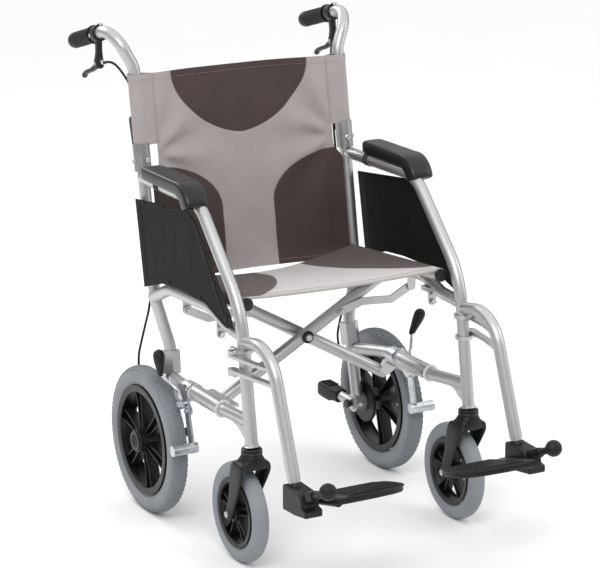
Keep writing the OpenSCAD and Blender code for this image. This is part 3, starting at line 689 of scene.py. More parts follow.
def back_wrinkle(x, z):
    """Soft pulls fanning out from both hinges, and slack between them."""
    lift = 0.0050 * noise.noise(Vector((x * 6.0, 1.3, z * 4.5)))
    lift += 0.0022 * noise.noise(Vector((x * 15.0 + z * 6, 4.1, z * 13.0)))
    for side in (-1, 1):
        dx = 0.212 - x * side
        dz = z - 0.722
        r = math.hypot(dx, dz)
        turn = math.atan2(dz, dx)
        fan = math.sin(7.5 * turn + 1.1 * side + 5 * r) * math.exp(-(r / 0.15) ** 2)
        lift += 0.0056 * fan * ramp(r, 0.01, 0.06)
    return lift * (1 - ramp(abs(x), 0.175, SHEET_HALF))


def sheet_piece(name, rows, maps):
    """Cloth from rows of points; maps holds each point's place on the flat cut."""
    mesh = bpy.data.meshes.new(name)
    points = []
    cuts = []
    index = {}
    for i, row in enumerate(rows):
        for j, p in enumerate(row):
            if p is not None:
                index[i, j] = len(points)
                points.append(tuple(p))
                cuts.append(maps[i][j])
    faces = []
    for i in range(len(rows) - 1):
        for j in range(len(rows[i]) - 1):
            corners = [(i, j), (i, j + 1), (i + 1, j + 1), (i + 1, j)]
            if all(c in index for c in corners):
                faces.append([index[c] for c in corners])
    mesh.from_pydata(points, [], faces)
    cut = mesh.uv_layers.new(name="cut")
    for loop in mesh.loops:
        cut.data[loop.index].uv = cuts[loop.vertex_index]
    area = sum(face.area for face in mesh.polygons)
    return mesh, area


def thicken(piece, thickness):
    """Gives a sheet its thickness, with the cut edge kept crisp."""
    wall = piece.modifiers.new("wall", "SOLIDIFY")
    wall.thickness = thickness
    wall.offset = 0
    wall.use_even_offset = True
    mesh = bpy.data.meshes.new_from_object(
        piece.evaluated_get(bpy.context.evaluated_depsgraph_get()))
    piece.modifiers.clear()
    mesh.set_sharp_from_angle(angle=math.radians(60))
    old = piece.data
    piece.data = mesh
    bpy.data.meshes.remove(old)


def back_section(z, half, sleeves):
    """One row of the back cloth: (point, place on the cut) pairs from right to left."""
    centre = back_y(z)
    hem = 0.0009 * ramp(z, CLOTH_TOP - 0.0135, CLOTH_TOP - 0.012)
    row = []
    count = 110
    for k in range(count + 1):
        x = -half + 2 * half * k / count
        y = centre + back_front(x) - hem + back_wrinkle(x, z)
        row.append((Vector((x, y, z)), (x, z)))
    wings = []
    for side in (-1, 1):
        wing = []
        reach = POST_X - half
        for k in range(1, 7):
            x = half + reach * k / 6
            wing.append((Vector((side * x, centre + back_front(x) - hem, z)), (side * x, z)))
        for k in range(1, 17):
            turn = math.pi * k / 16
            r = SLEEVE_R + hem
            x = POST_X + r * math.sin(turn)
            y = centre - r * math.cos(turn)
            wing.append((Vector((side * x, y, z)), (side * (POST_X + SLEEVE_R * turn), z)))
        for k in range(1, 7):
            t = k / 6
            x = POST_X - reach * t
            y = centre + (SLEEVE_R + hem) * (1 - t) + t * (back_front(half) + 0.0022)
            wing.append((Vector((side * x, y, z)),
                         (side * (POST_X + SLEEVE_R * math.pi + reach * t), z)))
        wings.append(wing if sleeves else [(None, None)] * len(wing))
    return list(reversed(wings[0])) + row + wings[1]


def back_half_width(z):
    return 0.2035 + 0.0185 * (1 - ramp(z, 0.672, 0.706))


def cloth_from(name, heights, sleeves):
    """Back cloth mesh from its heights, with sleeves round the posts where asked."""
    rows = []
    maps = []
    for z in heights:
        half = SHEET_HALF if z > HINGE_Z - 0.001 else back_half_width(z)
        pairs = back_section(z, half, sleeves and z >= SLEEVE_LOW - 1e-6)
        rows.append([p for p, cut in pairs])
        maps.append([cut for p, cut in pairs])
    return sheet_piece(name, rows, maps)


def steps(low, high, count):
    return [low + (high - low) * i / count for i in range(count + 1)]


def along_line(points, pitch, aim, offset=0.0):
    """Stitch spots every pitch along a polyline, lifted by offset along aim(point)."""
    spots = []
    left = pitch / 2
    for a, b in zip(points, points[1:]):
        way = b - a
        length = way.length
        while left < length:
            p = a + way * (left / length)
            up = Vector(aim(p)).normalized()
            spots.append((p + up * offset, up, way.normalized()))
            left += pitch
        left -= length
    return spots


def on_back(x, z, lift=0.0008):
    """A point on the front of the back cloth."""
    hem = 0.0009 * ramp(z, CLOTH_TOP - 0.0135, CLOTH_TOP - 0.012)
    return Vector((x, back_y(z) + back_front(x) - hem + back_wrinkle(x, z) - lift, z))


def moon_edge(grow):
    """The half-moon panel's edge, grown outward by grow."""
    edge = []
    for k in range(121):
        t = math.pi * k / 120
        c = math.cos(t)
        s = math.sin(t)
        x = math.copysign(abs(c) ** (2 / 1.62), c) * (0.158 + grow)
        drop = s ** (2 / 1.85) * (0.139 + grow)
        edge.append(on_back(x, min(CLOTH_TOP - 0.001, HINGE_Z + 0.172 - drop)))
    return edge


def corner_edge(side, grow):
    """A lower corner panel's edge from the seat up to the side."""
    edge = [on_back(side * (0.060 - grow), z) for z in steps(BACK_LOW + 0.003, 0.600, 12)]
    for k in range(1, 41):
        t = math.pi / 2 * k / 40
        x = 0.226 - math.cos(t) ** (2 / 2.1) * (0.166 + grow)
        z = 0.600 + math.sin(t) ** (2 / 1.9) * (0.098 + grow)
        if x < 0.205:
            edge.append(on_back(side * x, z))
    return edge


def forward(p):
    return (0, -1, 0.16)


def squashing(*pieces):
    """Gives each piece a mesh of its own."""
    for piece in pieces:
        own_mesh(piece)


upper_heights = steps(HINGE_Z, SLEEVE_LOW, 10) + steps(SLEEVE_LOW, CLOTH_TOP, 48)[1:]
upper_mesh, upper_area = cloth_from("back_cloth_upper", upper_heights, True)
upper = place("back_cloth_upper", upper_mesh, "back_cloth", "right_back", "sling_cloth",
              ["back_sling"], 60)
thicken(upper, BACK_CLOTH_THICK)
lower_mesh, lower_area = cloth_from("back_cloth_lower", steps(BACK_LOW, HINGE_Z, 78), False)
lower = place("back_cloth_lower", lower_mesh, "back_cloth", "right_frame", "sling_cloth", [], 60)
thicken(lower, BACK_CLOTH_THICK)
upper_lines = moon_edge(0.0035)
upper_spots = along_line(upper_lines, 0.0034, forward)
upper_spots += along_line(moon_edge(0.0075), 0.0034, forward)
hem_line = [on_back(x, CLOTH_TOP - 0.0125) for x in steps(-0.228, 0.228, 60)]
upper_spots += along_line(hem_line, 0.0034, forward)
upper_thread = repeat("back_stitches_upper", "stitch", upper_spots, (0.0026, 0.0006, 0.0006),
                      "light_thread", "right_back", "sling_cloth", 0.15)
seam_spots = []
for side in (-1, 1):
    for x in (SHEET_HALF - 0.0005, SHEET_HALF - 0.0035):
        seam = [on_back(side * x, z) for z in steps(SLEEVE_LOW + 0.001, CLOTH_TOP - 0.002, 30)]
        seam_spots += along_line(seam, 0.0032, forward)
seam_thread = repeat("sleeve_stitches", "stitch", seam_spots, (0.0026, 0.0007, 0.0006),
                     "dark_thread", "right_back", "sling_cloth", 0.15)
lower_spots = []
for side in (-1, 1):
    lower_spots += along_line(corner_edge(side, 0.0035), 0.0034, forward)
    lower_spots += along_line(corner_edge(side, 0.0075), 0.0034, forward)
lower_spots += along_line([on_back(x, BACK_LOW + 0.010) for x in steps(-0.216, 0.216, 50)],
                          0.0034, forward)
lower_thread = repeat("back_stitches_lower", "stitch", lower_spots, (0.0026, 0.0006, 0.0006),
                      "light_thread", "right_frame", "sling_cloth", 0.15)
squashing(upper, lower, upper_thread, seam_thread, lower_thread)


# ---- seat cloth

SEAT_WRAP_R = 0.0131
SEAT_INNER = 0.218
SEAT_FRONT = -0.2075 + SHIFT
SEAT_LENGTH = 0.352


def seat_rise(x, v):
    """Height of the cloth over the tubes' centre line: taut in front, slacker behind."""
    sag = SEAT_SAG[0] + SEAT_SAG[1] * (max(v, 0) / SEAT_LENGTH) ** 1.3
    return SEAT_LIFT - sag * (1 - (x / SEAT_INNER) ** 2)


def seat_wrinkle(x, v):
    lift = 0.0022 * noise.noise(Vector((x * 7, v * 6, 2.2)))
    lift += 0.0009 * noise.noise(Vector((x * 19, v * 15, 5.2)))
    return lift * (1 - ramp(abs(x), 0.17, SEAT_INNER)) * ramp(v, -0.01, 0.05)


def on_seat(x, v, lift=0.0):
    y = SEAT_FRONT + v * math.cos(SEAT_FALL)
    return Vector((x, y, seat_z(y) + seat_rise(x, v) + seat_wrinkle(x, v) + lift))


def seat_row(v):
    row = []
    span = 0.0
    before = None
    half = []
    for k in range(61):
        x = SEAT_INNER * k / 60
        p = on_seat(x, v)
        if before is not None:
            span += (p - before).length
        before = p
        half.append((p, span))
    y = SEAT_FRONT + v * math.cos(SEAT_FALL)
    for k in range(1, 13):
        turn = math.radians(90 - 122 * k / 12)
        p = Vector((SEAT_X + SEAT_WRAP_R * math.cos(turn), y,
                    seat_z(y) + SEAT_WRAP_R * math.sin(turn)))
        span += (p - before).length
        before = p
        half.append((p, span))
    left = [(p, (s, v)) for p, s in half]
    right = []
    for k, (p, s) in enumerate(half[1:]):
        x = -p.x
        q = on_seat(x, v) if k < 60 else Vector((x, p.y, p.z))
        right.append((q, (-s, v)))
    return list(reversed(right)) + left


seat_rows = [seat_row(v) for v in steps(0, SEAT_LENGTH, 84)]
seat_points = [[p for p, cut in row] for row in seat_rows]
seat_cuts = [[cut for p, cut in row] for row in seat_rows]
seat_mesh, seat_area = sheet_piece("seat_cloth", seat_points, seat_cuts)
seat = place("seat_cloth", seat_mesh, "seat_cloth", "brace_a", "sling_cloth", ["seat_sling"], 60,
             keep=True)
thicken(seat, 0.0015)
hem = Shape()
hem_path = [seat_row(0)[k][0] + Vector((0, 0.0012, -0.0022)) for k in range(4, 141, 2)]
hem.tube(hem_path, 0.0031, 12, (0, -1, 0))
seat_hem = hem.finish("seat_hem", "light_thread", "brace_a", "sling_cloth", keep=True)
seat_spots = []
for v in (0.011, 0.0145):
    seat_spots += along_line([on_seat(x, v, 0.001) for x in steps(-0.205, 0.205, 60)], 0.0034,
                             lambda p: (0, 0, 1))
seat_thread = repeat("seat_stitches", "stitch", seat_spots, (0.0026, 0.0006, 0.0006),
                     "dark_thread", "brace_a", "sling_cloth", 0.15, keep=True)
for piece in (seat, seat_hem, seat_thread):
    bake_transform(piece, "brace_a", "brace_b", start=(0.2, 0.04, 0.48), end=(-0.2, 0.04, 0.48))
seat_width = seat_rows[0][-1][1][0] - seat_rows[0][0][1][0]
min(
    seat_area, seat_width * SEAT_LENGTH)


# ---- side panels and arm pads

ARM_Z = 682.3
CROWN_Z = 483.3
PANEL_TOP = [(-236, CROWN_Z - 7), (-223, CROWN_Z + 18), (-76, ARM_Z - 28), (-30, ARM_Z - 17),
             (190, ARM_Z - 42)]
PANEL_LOW = [(-236, CROWN_Z - 7), (-210, CROWN_Z - 15), (-168, CROWN_Z - 3),
             (-115, CROWN_Z + 14), (0, CROWN_Z + 13), (70, CROWN_Z + 7), (155, CROWN_Z - 20)]


def walk(line, t):
    """The point a fraction t of the way along a plan polyline."""
    spans = [math.dist(a, b) for a, b in zip(line, line[1:])]
    left = t * sum(spans)
    for (a, b), span in zip(zip(line, line[1:]), spans):
        if left <= span or (a, b) == (line[-2], line[-1]):
            f = min(1, left / span)
            return (a[0] + (b[0] - a[0]) * f, a[1] + (b[1] - a[1]) * f)
        left -= span
    return line[-1]


def side_panel(label, side):
    rows = []
    maps = []
    columns = 84
    for i in range(49):
        t = i / 48
        row = []
        cuts = []
        for k in range(columns + 1):
            low = walk(PANEL_LOW, k / columns)
            top = walk(PANEL_TOP, k / columns)
            y = low[0] + (top[0] - low[0]) * t
            z = low[1] + (top[1] - low[1]) * t
            rim = min(t, 1 - t, (k / columns), 1 - k / columns)
            wave = 1.5 * noise.noise(Vector((y * 0.012, side * 3.0, z * 0.016)))
            wave += 0.6 * noise.noise(Vector((y * 0.03, side * 5.0, z * 0.035)))
            fold = 1.3 * math.exp(-((y - (-206 + (z - CROWN_Z) * 0.80)) / 5) ** 2)
            band = 0.9 * (1 - ramp(rim, 0.035, 0.05))
            x = 259.2 + band + fold * ramp(t, 0.05, 0.2) + abs(wave) * ramp(rim, 0, 0.2)
            row.append(at(side * x, y, z))
            cuts.append((y / 1000, z / 1000))
        rows.append(row)
        maps.append(cuts)
    mesh, area = sheet_piece("side_panel_cloth_" + label, rows, maps)
    body = label + "_frame"
    panel = place("side_panel_cloth_" + label, mesh, "panel_cloth", body, "panel_cloth",
                  ["side_panel_" + label], 60)
    thicken(panel, 0.0016)
    stitched = []
    for t in (0.035, 0.965):
        edge = [rows[round(48 * t)][k] for k in range(2, columns - 1)]
        stitched += along_line(edge, 0.0036, lambda p: (side, 0, 0), 0.0010)
    for k in (2, columns - 3):
        edge = [rows[i][k] for i in range(2, 47)]
        stitched += along_line(edge, 0.0036, lambda p: (side, 0, 0), 0.0010)
    thread = repeat("panel_stitches_" + label, "stitch", stitched, (0.0026, 0.0007, 0.0006),
                    "black_thread", body, "panel_cloth", 0.15)
    heads = []
    for y, z in ((-118, 596), (-162, 544), (-212, 492), (-60, 652), (60, 650), (150, 640)):
        heads.append((at(side * 261.2, y, z), (side, 0, 0)))
    for y, z in ((-100, CROWN_Z + 20), (40, CROWN_Z + 16)):
        heads.append((at(side * 261.2, y, z), (side, 0, 0)))
    bolts("panel_screws_" + label, heads, 0.0066, 0.0016, body, "black_plastic", "panel_cloth")


def arm_pad(label, side):
    """Skinned foam pad with a rolled front, its top crowned and its corners round."""
    x = side * 254.5
    path = [at(x, y, ARM_Z + 25) for y in steps(123, -25, 26)]
    reach = 47.5
    low = ARM_Z + 12.5 + 25 - 60
    for k in range(1, 25):
        turn = math.radians(75.3 * k / 24)
        path.append(at(x, -25 - reach * math.sin(turn), low + reach * math.cos(turn)))
    ends = (0.55, 0.80, 0.92, 0.975)
    scales = list(ends) + [1.0] * (len(path) - 2 * len(ends)) + list(reversed(ends))
    total = len(path)
    tight = []
    for i, p in enumerate(path):
        tight.append(p)
    for k, push in enumerate((0.0036, 0.0022, 0.0010, 0.0003)):
        tight[k] = path[4] + (path[0] - path[4]).normalized() * ((path[0] - path[4]).length
                                                                 - 0.0036 + push)
        tail = path[total - 5]
        way = (path[-1] - tail).normalized()
        tight[total - 1 - k] = tail + way * ((path[-1] - tail).length - 0.0036 + push)
    pad = Shape()

    def section(i):
        s = scales[i]
        ring = []
        thick = 0.0142 * (1 + 0.22 * ramp(i, 0.45 * total, 0.70 * total))
        for a, b in squared(0.0258, thick, 5.0, 44):
            crown = 0.0009 * (1 - (a / 0.0258) ** 2) if b > 0 else 0.0
            pull = 1 - 0.05 * max(0, -b / thick)
            ring.append((a * pull * (0.35 + 0.65 * s if s < 1 else 1), (b + crown) * s))
        return ring

    pad.sweep(tight, section, (1, 0, 0))
    piece = pad.finish("arm_pad_skin_" + label, "pad_black", label + "_frame", "pad_black",
                       ["arm_pad_" + label], 60)
    soft = piece.modifiers.new("soft", "SUBSURF")
    soft.levels = 1
    soft.render_levels = 1
    strap = Shape()
    for y in (108, 118):
        strap.turned(at(side * 241.5, y - 4, ARM_Z), (0, 1, 0),
                     [(-0.004, 0.0133), (-0.003, 0.0142), (0.003, 0.0142), (0.004, 0.0133)], 32)
    strap.finish("arm_band_" + label, "black_thread", label + "_frame", "panel_cloth")


# ---- wheels

def wheel_profile(rim, half, deep):
    """Closed rim section: flanges, bead seat and an inner wall, deep metres thick."""
    return [(-half + 0.001, rim - deep), (-half, rim - 0.004), (-half, rim + 0.0017),
            (-half + 0.0022, rim + 0.0018), (-half + 0.006, rim - 0.003),
            (half - 0.006, rim - 0.003), (half - 0.0022, rim + 0.0018), (half, rim + 0.0017),
            (half, rim - 0.004), (half - 0.001, rim - deep), (half - 0.0025, rim - deep - 0.001),
            (half - 0.006, rim - deep + 0.002), (0.005, rim - deep + 0.003),
            (-0.005, rim - deep + 0.003), (-half + 0.006, rim - deep + 0.002),
            (-half + 0.0025, rim - deep - 0.001)]


def spoked(name, centre, rim, half, hub, inner, outer, side, deep, count, body, replaces):
    """Moulded wheel: rim, hub barrel and broad spokes of two ribs and a web."""
    wheel = Shape()
    wheel.turned(centre, (side, 0, 0), wheel_profile(rim, half, deep), 96, closed=True)
    wheel.turned(centre, (side, 0, 0), [
        (-inner, 0.0062), (-inner, hub - 0.002), (-inner + 0.002, hub), (outer - 0.002, hub),
        (outer, hub - 0.002), (outer, hub * 0.62), (outer - 0.004, hub * 0.58),
        (outer - 0.004, 0.0062)], 48, closed=True)
    wide_in = min(half * 0.75, inner)
    for i in range(count):
        turn = 2 * math.pi * i / count + 0.3
        web = []
        for lean in (-1, 1):
            root = turn + lean * 0.24
            tip = turn + lean * (0.115 if count > 5 else 0.15)
            a = hub * 0.93
            b = rim - deep + 0.0015
            start = Vector((0, math.cos(root), math.sin(root))) * a
            end = Vector((0, math.cos(tip), math.sin(tip))) * b
            way = (end - start).normalized()
            over = ACROSS.cross(way)
            rings = []
            for p, wide, thick in ((start, wide_in, 0.0021), (start.lerp(end, 0.5),
                                   wide_in * 0.86, 0.0017), (end, half * 0.62, 0.0021)):
                ring = []
                for u, w in squared(wide, thick, 5, 16):
                    ring.append(centre + p + ACROSS * (u + side * 0.001) + over * w)
                rings.append(ring)
            wheel.loft(rings)
            web.append((start, end))
        (s0, e0), (s1, e1) = web
        plate = [s0, s0.lerp(e0, 0.5), e0, e1, s1.lerp(e1, 0.5), s1]
        wheel.slab([centre + p for p in plate], (1, 0, 0), 0.006, 0.0005)
    piece = wheel.finish(name, "rim_black", body, "black_plastic", replaces, 35)
    soft_edges(piece, 0.0005)
    return piece


def melt(piece, grain, passes):
    """Runs separate closed forms into one casting with rounded inner corners."""
    step = piece.modifiers.new("melt", "REMESH")
    step.mode = "VOXEL"
    step.voxel_size = grain
    seen = bpy.context.evaluated_depsgraph_get()
    mesh = bpy.data.meshes.new_from_object(piece.evaluated_get(seen))
    piece.modifiers.clear()
    form = bmesh.new()
    form.from_mesh(mesh)
    for i in range(passes):
        bmesh.ops.smooth_vert(form, verts=form.verts, factor=0.5, use_axis_x=True,
                              use_axis_y=True, use_axis_z=True)
    bmesh.ops.recalc_face_normals(form, faces=form.faces)
    form.to_mesh(mesh)
    form.free()
    mesh.polygons.foreach_set("use_smooth", [True] * len(mesh.polygons))
    old = piece.data
    piece.data = mesh
    mesh.name = piece.name
    bpy.data.meshes.remove(old)


def soft_edges(piece, width, segments=2):
    eased = piece.modifiers.new("eased", "BEVEL")
    eased.width = width
    eased.segments = segments
    eased.limit_method = "ANGLE"
    eased.angle_limit = math.radians(38)


def tyre_section(radius, half, seat, crown, count=40):
    """Closed tyre section about the axle: round crown, sidewalls, beads on the rim."""
    mid = seat + (radius - seat) * 0.50
    rise = radius - mid
    made = []
    for k in range(count + 1):
        t = math.pi * k / count
        c = math.cos(t)
        s = math.sin(t)
        made.append((math.copysign(abs(c) ** (2 / crown), c) * half,
                     mid + abs(s) ** (2 / crown) * rise))
    made += [(-half * 0.97, mid - rise * 0.35), (-half * 0.88, mid - rise * 0.68),
             (-half * 0.80, seat + 0.0030), (-half * 0.76, seat + 0.0004), (-half * 0.5, seat),
             (half * 0.5, seat), (half * 0.76, seat + 0.0004), (half * 0.80, seat + 0.0030),
             (half * 0.88, mid - rise * 0.68), (half * 0.97, mid - rise * 0.35)]
    return made


TYRE_HALF = 0.0197
TYRE_SEAT = 0.1147
TYRE_MID = 0.1330
TYRE_RISE = 0.0183
TYRE_CROWN = 2.25
TREAD_ROWS = (-0.0141, -0.0094, -0.0047, 0.0, 0.0047, 0.0094, 0.0141)


def tread_radius(where):
    """Radius of the rear tyre's surface at a distance across from its middle."""
    return TYRE_MID + TYRE_RISE * (1 - (abs(where) / TYRE_HALF) ** TYRE_CROWN) ** (1 / TYRE_CROWN)


def rear_wheel(label, side):
    centre = at(side * 276, 116, AXLE_Z * 1000)
    body = label + "_rear_wheel"
    spoked("rear_rim_" + label, centre, 0.1125, 0.019, 0.024, 0.014, 0.030, side, 0.0125, 6,
           body, ["rear_wheel_" + label])
    tyre = Shape()
    section = tyre_section(0.1513, TYRE_HALF, TYRE_SEAT, TYRE_CROWN)
    tyre.turned(centre, (side, 0, 0), section, 144, closed=True)
    piece = tyre.finish("rear_tyre_rubber_" + label, "tyre_grey", body, "tyre_grey",
                        ["rear_tyre_" + label], 50)
    spots = []
    pitches = 150
    for row, where in enumerate(TREAD_ROWS):
        r = tread_radius(where)
        lean = 0.75 * math.copysign((abs(where) / TYRE_HALF) ** 1.6, where)
        for k in range(pitches):
            turn = 2 * math.pi * (k + 0.25 * (row % 2)) / pitches
            out = Vector((0, math.cos(turn), math.sin(turn)))
            round_way = Vector((0, -math.sin(turn), math.cos(turn)))
            tilt = math.radians(33) * (1 if k % 2 else -1)
            aim_way = (out * math.cos(lean) + ACROSS * math.sin(lean)).normalized()
            along = round_way * math.cos(tilt) + ACROSS * math.sin(tilt)
            spots.append((centre + out * (r - 0.0005) + ACROSS * where, aim_way, along))
    repeat("rear_tread_" + label, "bar", spots, (0.0078, 0.0026, 0.0020), "tyre_grey", body,
           "tyre_grey")
    ribs = Shape()
    for where in (-0.0168, 0.0168):
        r = tread_radius(where)
        ribs.turned(centre, (1, 0, 0), [(where - 0.0011, r - 0.001), (where - 0.0005, r + 0.0005),
                                        (where + 0.0005, r + 0.0005), (where + 0.0011, r - 0.001)],
                    144, closed=True)
    ribs.finish("tread_edges_" + label, "tyre_grey", body, "tyre_grey")
    boss = Shape()
    out = Vector((side, 0, 0))
    boss.turned(centre + out * 0.0300, out, [
        (-0.002, 0.0120), (-0.002, 0.0215), (0.0015, 0.0215), (0.003, 0.0200), (0.003, 0.0135),
        (0.001, 0.0120)], 48, closed=True)
    boss.finish("hub_ring_" + label, "rim_black", body, "zinc_steel")
    cap = Shape()
    cap.turned(centre + out * 0.0255, out, [(0, 0.0122), (0.005, 0.0122), (0.0066, 0.0105),
                                            (0.0072, 0.0060), (0.0060, 0.0045), (0.0060, 0.0004)], 36)
    cap.finish("hub_cap_" + label, "grip_rubber", body, "black_plastic")
    return piece


def caster(label, side):
    centre = at(side * 245, -229, 100)
    body = label + "_caster"
    spoked("caster_rim_" + label, centre, 0.068, 0.0152, 0.0165, 0.0190, 0.0190, side,
           0.0075, 5, body, ["caster_wheel_" + label])
    tyre = Shape()
    tyre.turned(centre, (side, 0, 0), tyre_section(0.1, 0.0160, 0.0702, 2.15), 128, closed=True)
    tyre.finish("caster_tyre_rubber_" + label, "tyre_grey", body, "tyre_grey",
                ["caster_tyre_" + label], 50)


def fork(label, side):
    """Moulded caster fork: bearing cap, bell-shaped crown and two tapering legs."""
    x = side * 245
    body = label + "_fork"
    shell = Shape()
    crown = []
    for z, a, b, y, n in ((235, 19, 19, -279, 2.0), (232, 20.5, 20.5, -279, 2.1),
                          (227, 23, 22, -278.5, 2.2), (220, 27, 24, -277.5, 2.5),
                          (213, 31, 25.5, -276, 2.8), (208, 32.5, 26, -275, 2.9),
                          (205.5, 31, 24, -274.6, 2.9)):
        crown.append([at(x + u, y + v, z) for u, v in squared(a, b, n, 48)])
    shell.loft(crown)
    for s in (-1, 1):
        leg = []
        for z, a, b, y, out in ((219, 5.5, 23.0, -277.0, 25.5), (208, 5.4, 25.5, -274.5, 28.6),
                                (198, 5.0, 25.2, -271.5, 29.2), (182, 4.6, 23.4, -265.0, 28.0),
                                (164, 4.2, 21.0, -257.5, 26.0),
                                (146, 3.8, 18.8, -250.0, 24.6), (128, 3.8, 16.8, -242.0, 24.0),
                                (112, 3.9, 15.2, -235.0, 23.8), (100, 4.0, 14.0, -229.8, 23.8),
                                (91, 3.8, 11.5, -226.6, 23.8), (86.4, 3.0, 6.5, -225.2, 23.8)):
            leg.append([at(x + s * out + u, y + v, z) for u, v in squared(a, b, 3.2, 36)])
        shell.loft(leg)
        boss = [(0.0185, 0.0105), (0.0276, 0.0105), (0.0288, 0.0094), (0.0288, 0.0005)]
        shell.turned(at(x, -229, 100), (s, 0, 0), boss, 32)
    cast = shell.finish("fork_shell_" + label, "black_plastic", body, "black_plastic",
                        ["caster_fork_" + label], 60)
    melt(cast, 0.0017, 9)
    cap = Shape()
    cap.turned(at(x, -279, 234), (0, 0, 1), [
        (-0.001, 0.0185), (0.001, 0.0206), (0.0035, 0.0210), (0.005, 0.0198), (0.0062, 0.0198),
        (0.0075, 0.0206), (0.0105, 0.0200), (0.0125, 0.0176), (0.0128, 0.0120)], 48)
    cap.finish("fork_cap_" + label, "rim_black", body, "black_plastic", (), 30)
    cup = Shape()
    cup.turned(at(x, -279, 247.5), (0, math.sin(FRONT_LEAN), math.cos(FRONT_LEAN)), [
        (-0.001, 0.0128), (0.0005, 0.0150), (0.0016, 0.0150), (0.0026, 0.0138), (0.0040, 0.0138),
        (0.0052, 0.0134), (0.0056, 0.0110)], 40)
    cup.finish("bearing_cup_" + label, "zinc_steel", body, "zinc_steel", (), 30)
    heads = [(at(x + s * 28.6, -229, 100), (s, 0, 0)) for s in (-1, 1)]
    bolts("axle_screws_" + label, heads, 0.0125, 0.0045, body)


# ---- grips and hand brakes

GRIP_FALL = math.radians(15)
GRIP_WAY = Vector((0, math.cos(GRIP_FALL), -math.sin(GRIP_FALL)))


def push_grip(label, side):
    start = at(side * 273, 341, 955.3)
    body = label + "_back"
    profile = [(0, 0.0130), (0, 0.0185), (0.0012, 0.0194), (0.0038, 0.0194), (0.0052, 0.0182),
               (0.0075, 0.0163)]
    reach = 0.012
    while reach < 0.088:
        profile += [(reach, 0.0158), (reach + 0.0008, 0.0168), (reach + 0.0024, 0.0168),
                    (reach + 0.0032, 0.0158)]
        reach += 0.0046
    profile += [(0.092, 0.0162), (0.097, 0.0169), (0.103, 0.0169), (0.108, 0.0155),
                (0.111, 0.0125), (0.1125, 0.0080), (0.1130, 0.0004)]
    grip = Shape()
    grip.turned(start, GRIP_WAY, profile, 44)
    grip.finish("grip_sleeve_" + label, "grip_rubber", body, "grip_rubber", ["push_grip_" + label],
                35)


def lever_holder(label, side):
    centre = at(side * 273, 325.5, 959.4)
    pin = at(side * 274.9, 321.8, 898.1)
    body = label + "_back"
    holder = Shape()
    holder.turned(centre, GRIP_WAY, [
        (-0.0105, 0.0128), (-0.0105, 0.0160), (-0.0090, 0.0174), (0.0090, 0.0174),
        (0.0105, 0.0160), (0.0105, 0.0128)], 40, closed=True)
    arm = [(0, 0.0070, 0.0095), (0.25, 0.0062, 0.0088), (0.5, 0.0060, 0.0092),
           (0.75, 0.0070, 0.0112), (0.93, 0.0086, 0.0132), (1.08, 0.0088, 0.0128),
           (1.19, 0.0078, 0.0090)]
    top = centre - Vector((0, 0, 0.013))
    rings = []
    for t, a, b in arm:
        p = top.lerp(pin, t)
        rings.append([p + Vector((u, v - 0.0015 * math.sin(3 * t), 0))
                      for u, v in squared(a, b, 3, 28)])
    holder.loft(rings)
    ear = centre + Vector((0, -0.003, 0.0150))
    holder.tube([ear, ear + Vector((0, -0.010, 0.004))], [0.0052, 0.0046], 16)
    holder.tube([pin + Vector((0, -0.008, 0.010)), pin + Vector((0, -0.017, 0.0065))], 0.0046, 16)
    piece = holder.finish("lever_holder_" + label, "black_plastic", body, "black_plastic",
                          ["lever_body_" + label], 40)
    soft_edges(piece, 0.0008)
    nut = Shape()
    nub = ear + Vector((0, -0.0085, 0.0034))
    nut.turned(nub, (0, -1, 0.35), [(0, 0.0034), (0.0008, 0.0040), (0.0045, 0.0040),
                                    (0.0052, 0.0030), (0.0100, 0.0026), (0.0112, 0.0012)], 12)
    nut.turned(pin + Vector((0, -0.0165, 0.0068)), (0, -1, -0.45), [
        (0, 0.0036), (0.0005, 0.0042), (0.0042, 0.0042), (0.0050, 0.0032), (0.0085, 0.0030),
        (0.0095, 0.0018)], 12)
    nut.finish("cable_nuts_" + label, "zinc_steel", body, "zinc_steel", (), 25)
    heads = [(pin + Vector((s * 0.0080, 0, 0)), (s, 0, 0)) for s in (-1, 1)]
    heads.append((centre + Vector((side * 0.0160, 0.004, -0.004)), (side, 0, 0)))
    bolts("lever_screws_" + label, heads, 0.0075, 0.0028, body)
    lever = Shape()
    guide = [(0, 0, 0), (0, 9, -4.5), (0, 20, -11.5), (0, 33, -18), (0, 47, -22.5), (0, 60, -27),
             (0, 70, -33), (0, 75.5, -40)]
    path = curve_points([pin + Vector(g) / 1000 for g in guide], 34)
    widths = [(0.0046, 0.0088), (0.0050, 0.0078), (0.0060, 0.0052), (0.0062, 0.0044),
              (0.0062, 0.0043), (0.0060, 0.0044), (0.0058, 0.0048), (0.0060, 0.0055)]

    def section(i):
        t = i / (len(path) - 1) * (len(widths) - 1)
        k = min(int(t), len(widths) - 2)
        f = t - k
        a = widths[k][0] * (1 - f) + widths[k + 1][0] * f
        b = widths[k][1] * (1 - f) + widths[k + 1][1] * f
        last = 1 if i < len(path) - 3 else (0.93, 0.78, 0.42)[i - len(path) + 3]
        return squared(a * last, b * last, 2.6, 24)

    lever.sweep(path, section, (1, 0, 0))
    lever.finish("brake_handle_" + label, "black_plastic", label + "_hand_lever", "black_plastic",
                 ["brake_lever_" + label], 60)


CABLE = [
    (275, 298, 903), (268, 293, 905), (259, 290, 903), (250, 285, 895), (242, 274, 880),
    (234, 261, 860), (226, 249, 832), (221.5, 239, 800), (221, 231, 766), (221, 224, 726),
    (221, 217, 686), (222, 210, 646), (223, 203, 606), (225, 197, 566), (228, 190, 526),
    (231, 184, 486), (236, 178, 446), (239, 182, 408), (240, 200, 368), (240, 219, 330),
    (240, 233, 298), (238, 238, 266), (235, 222, 240), (233, 192, 226), (234, 143, 223)]


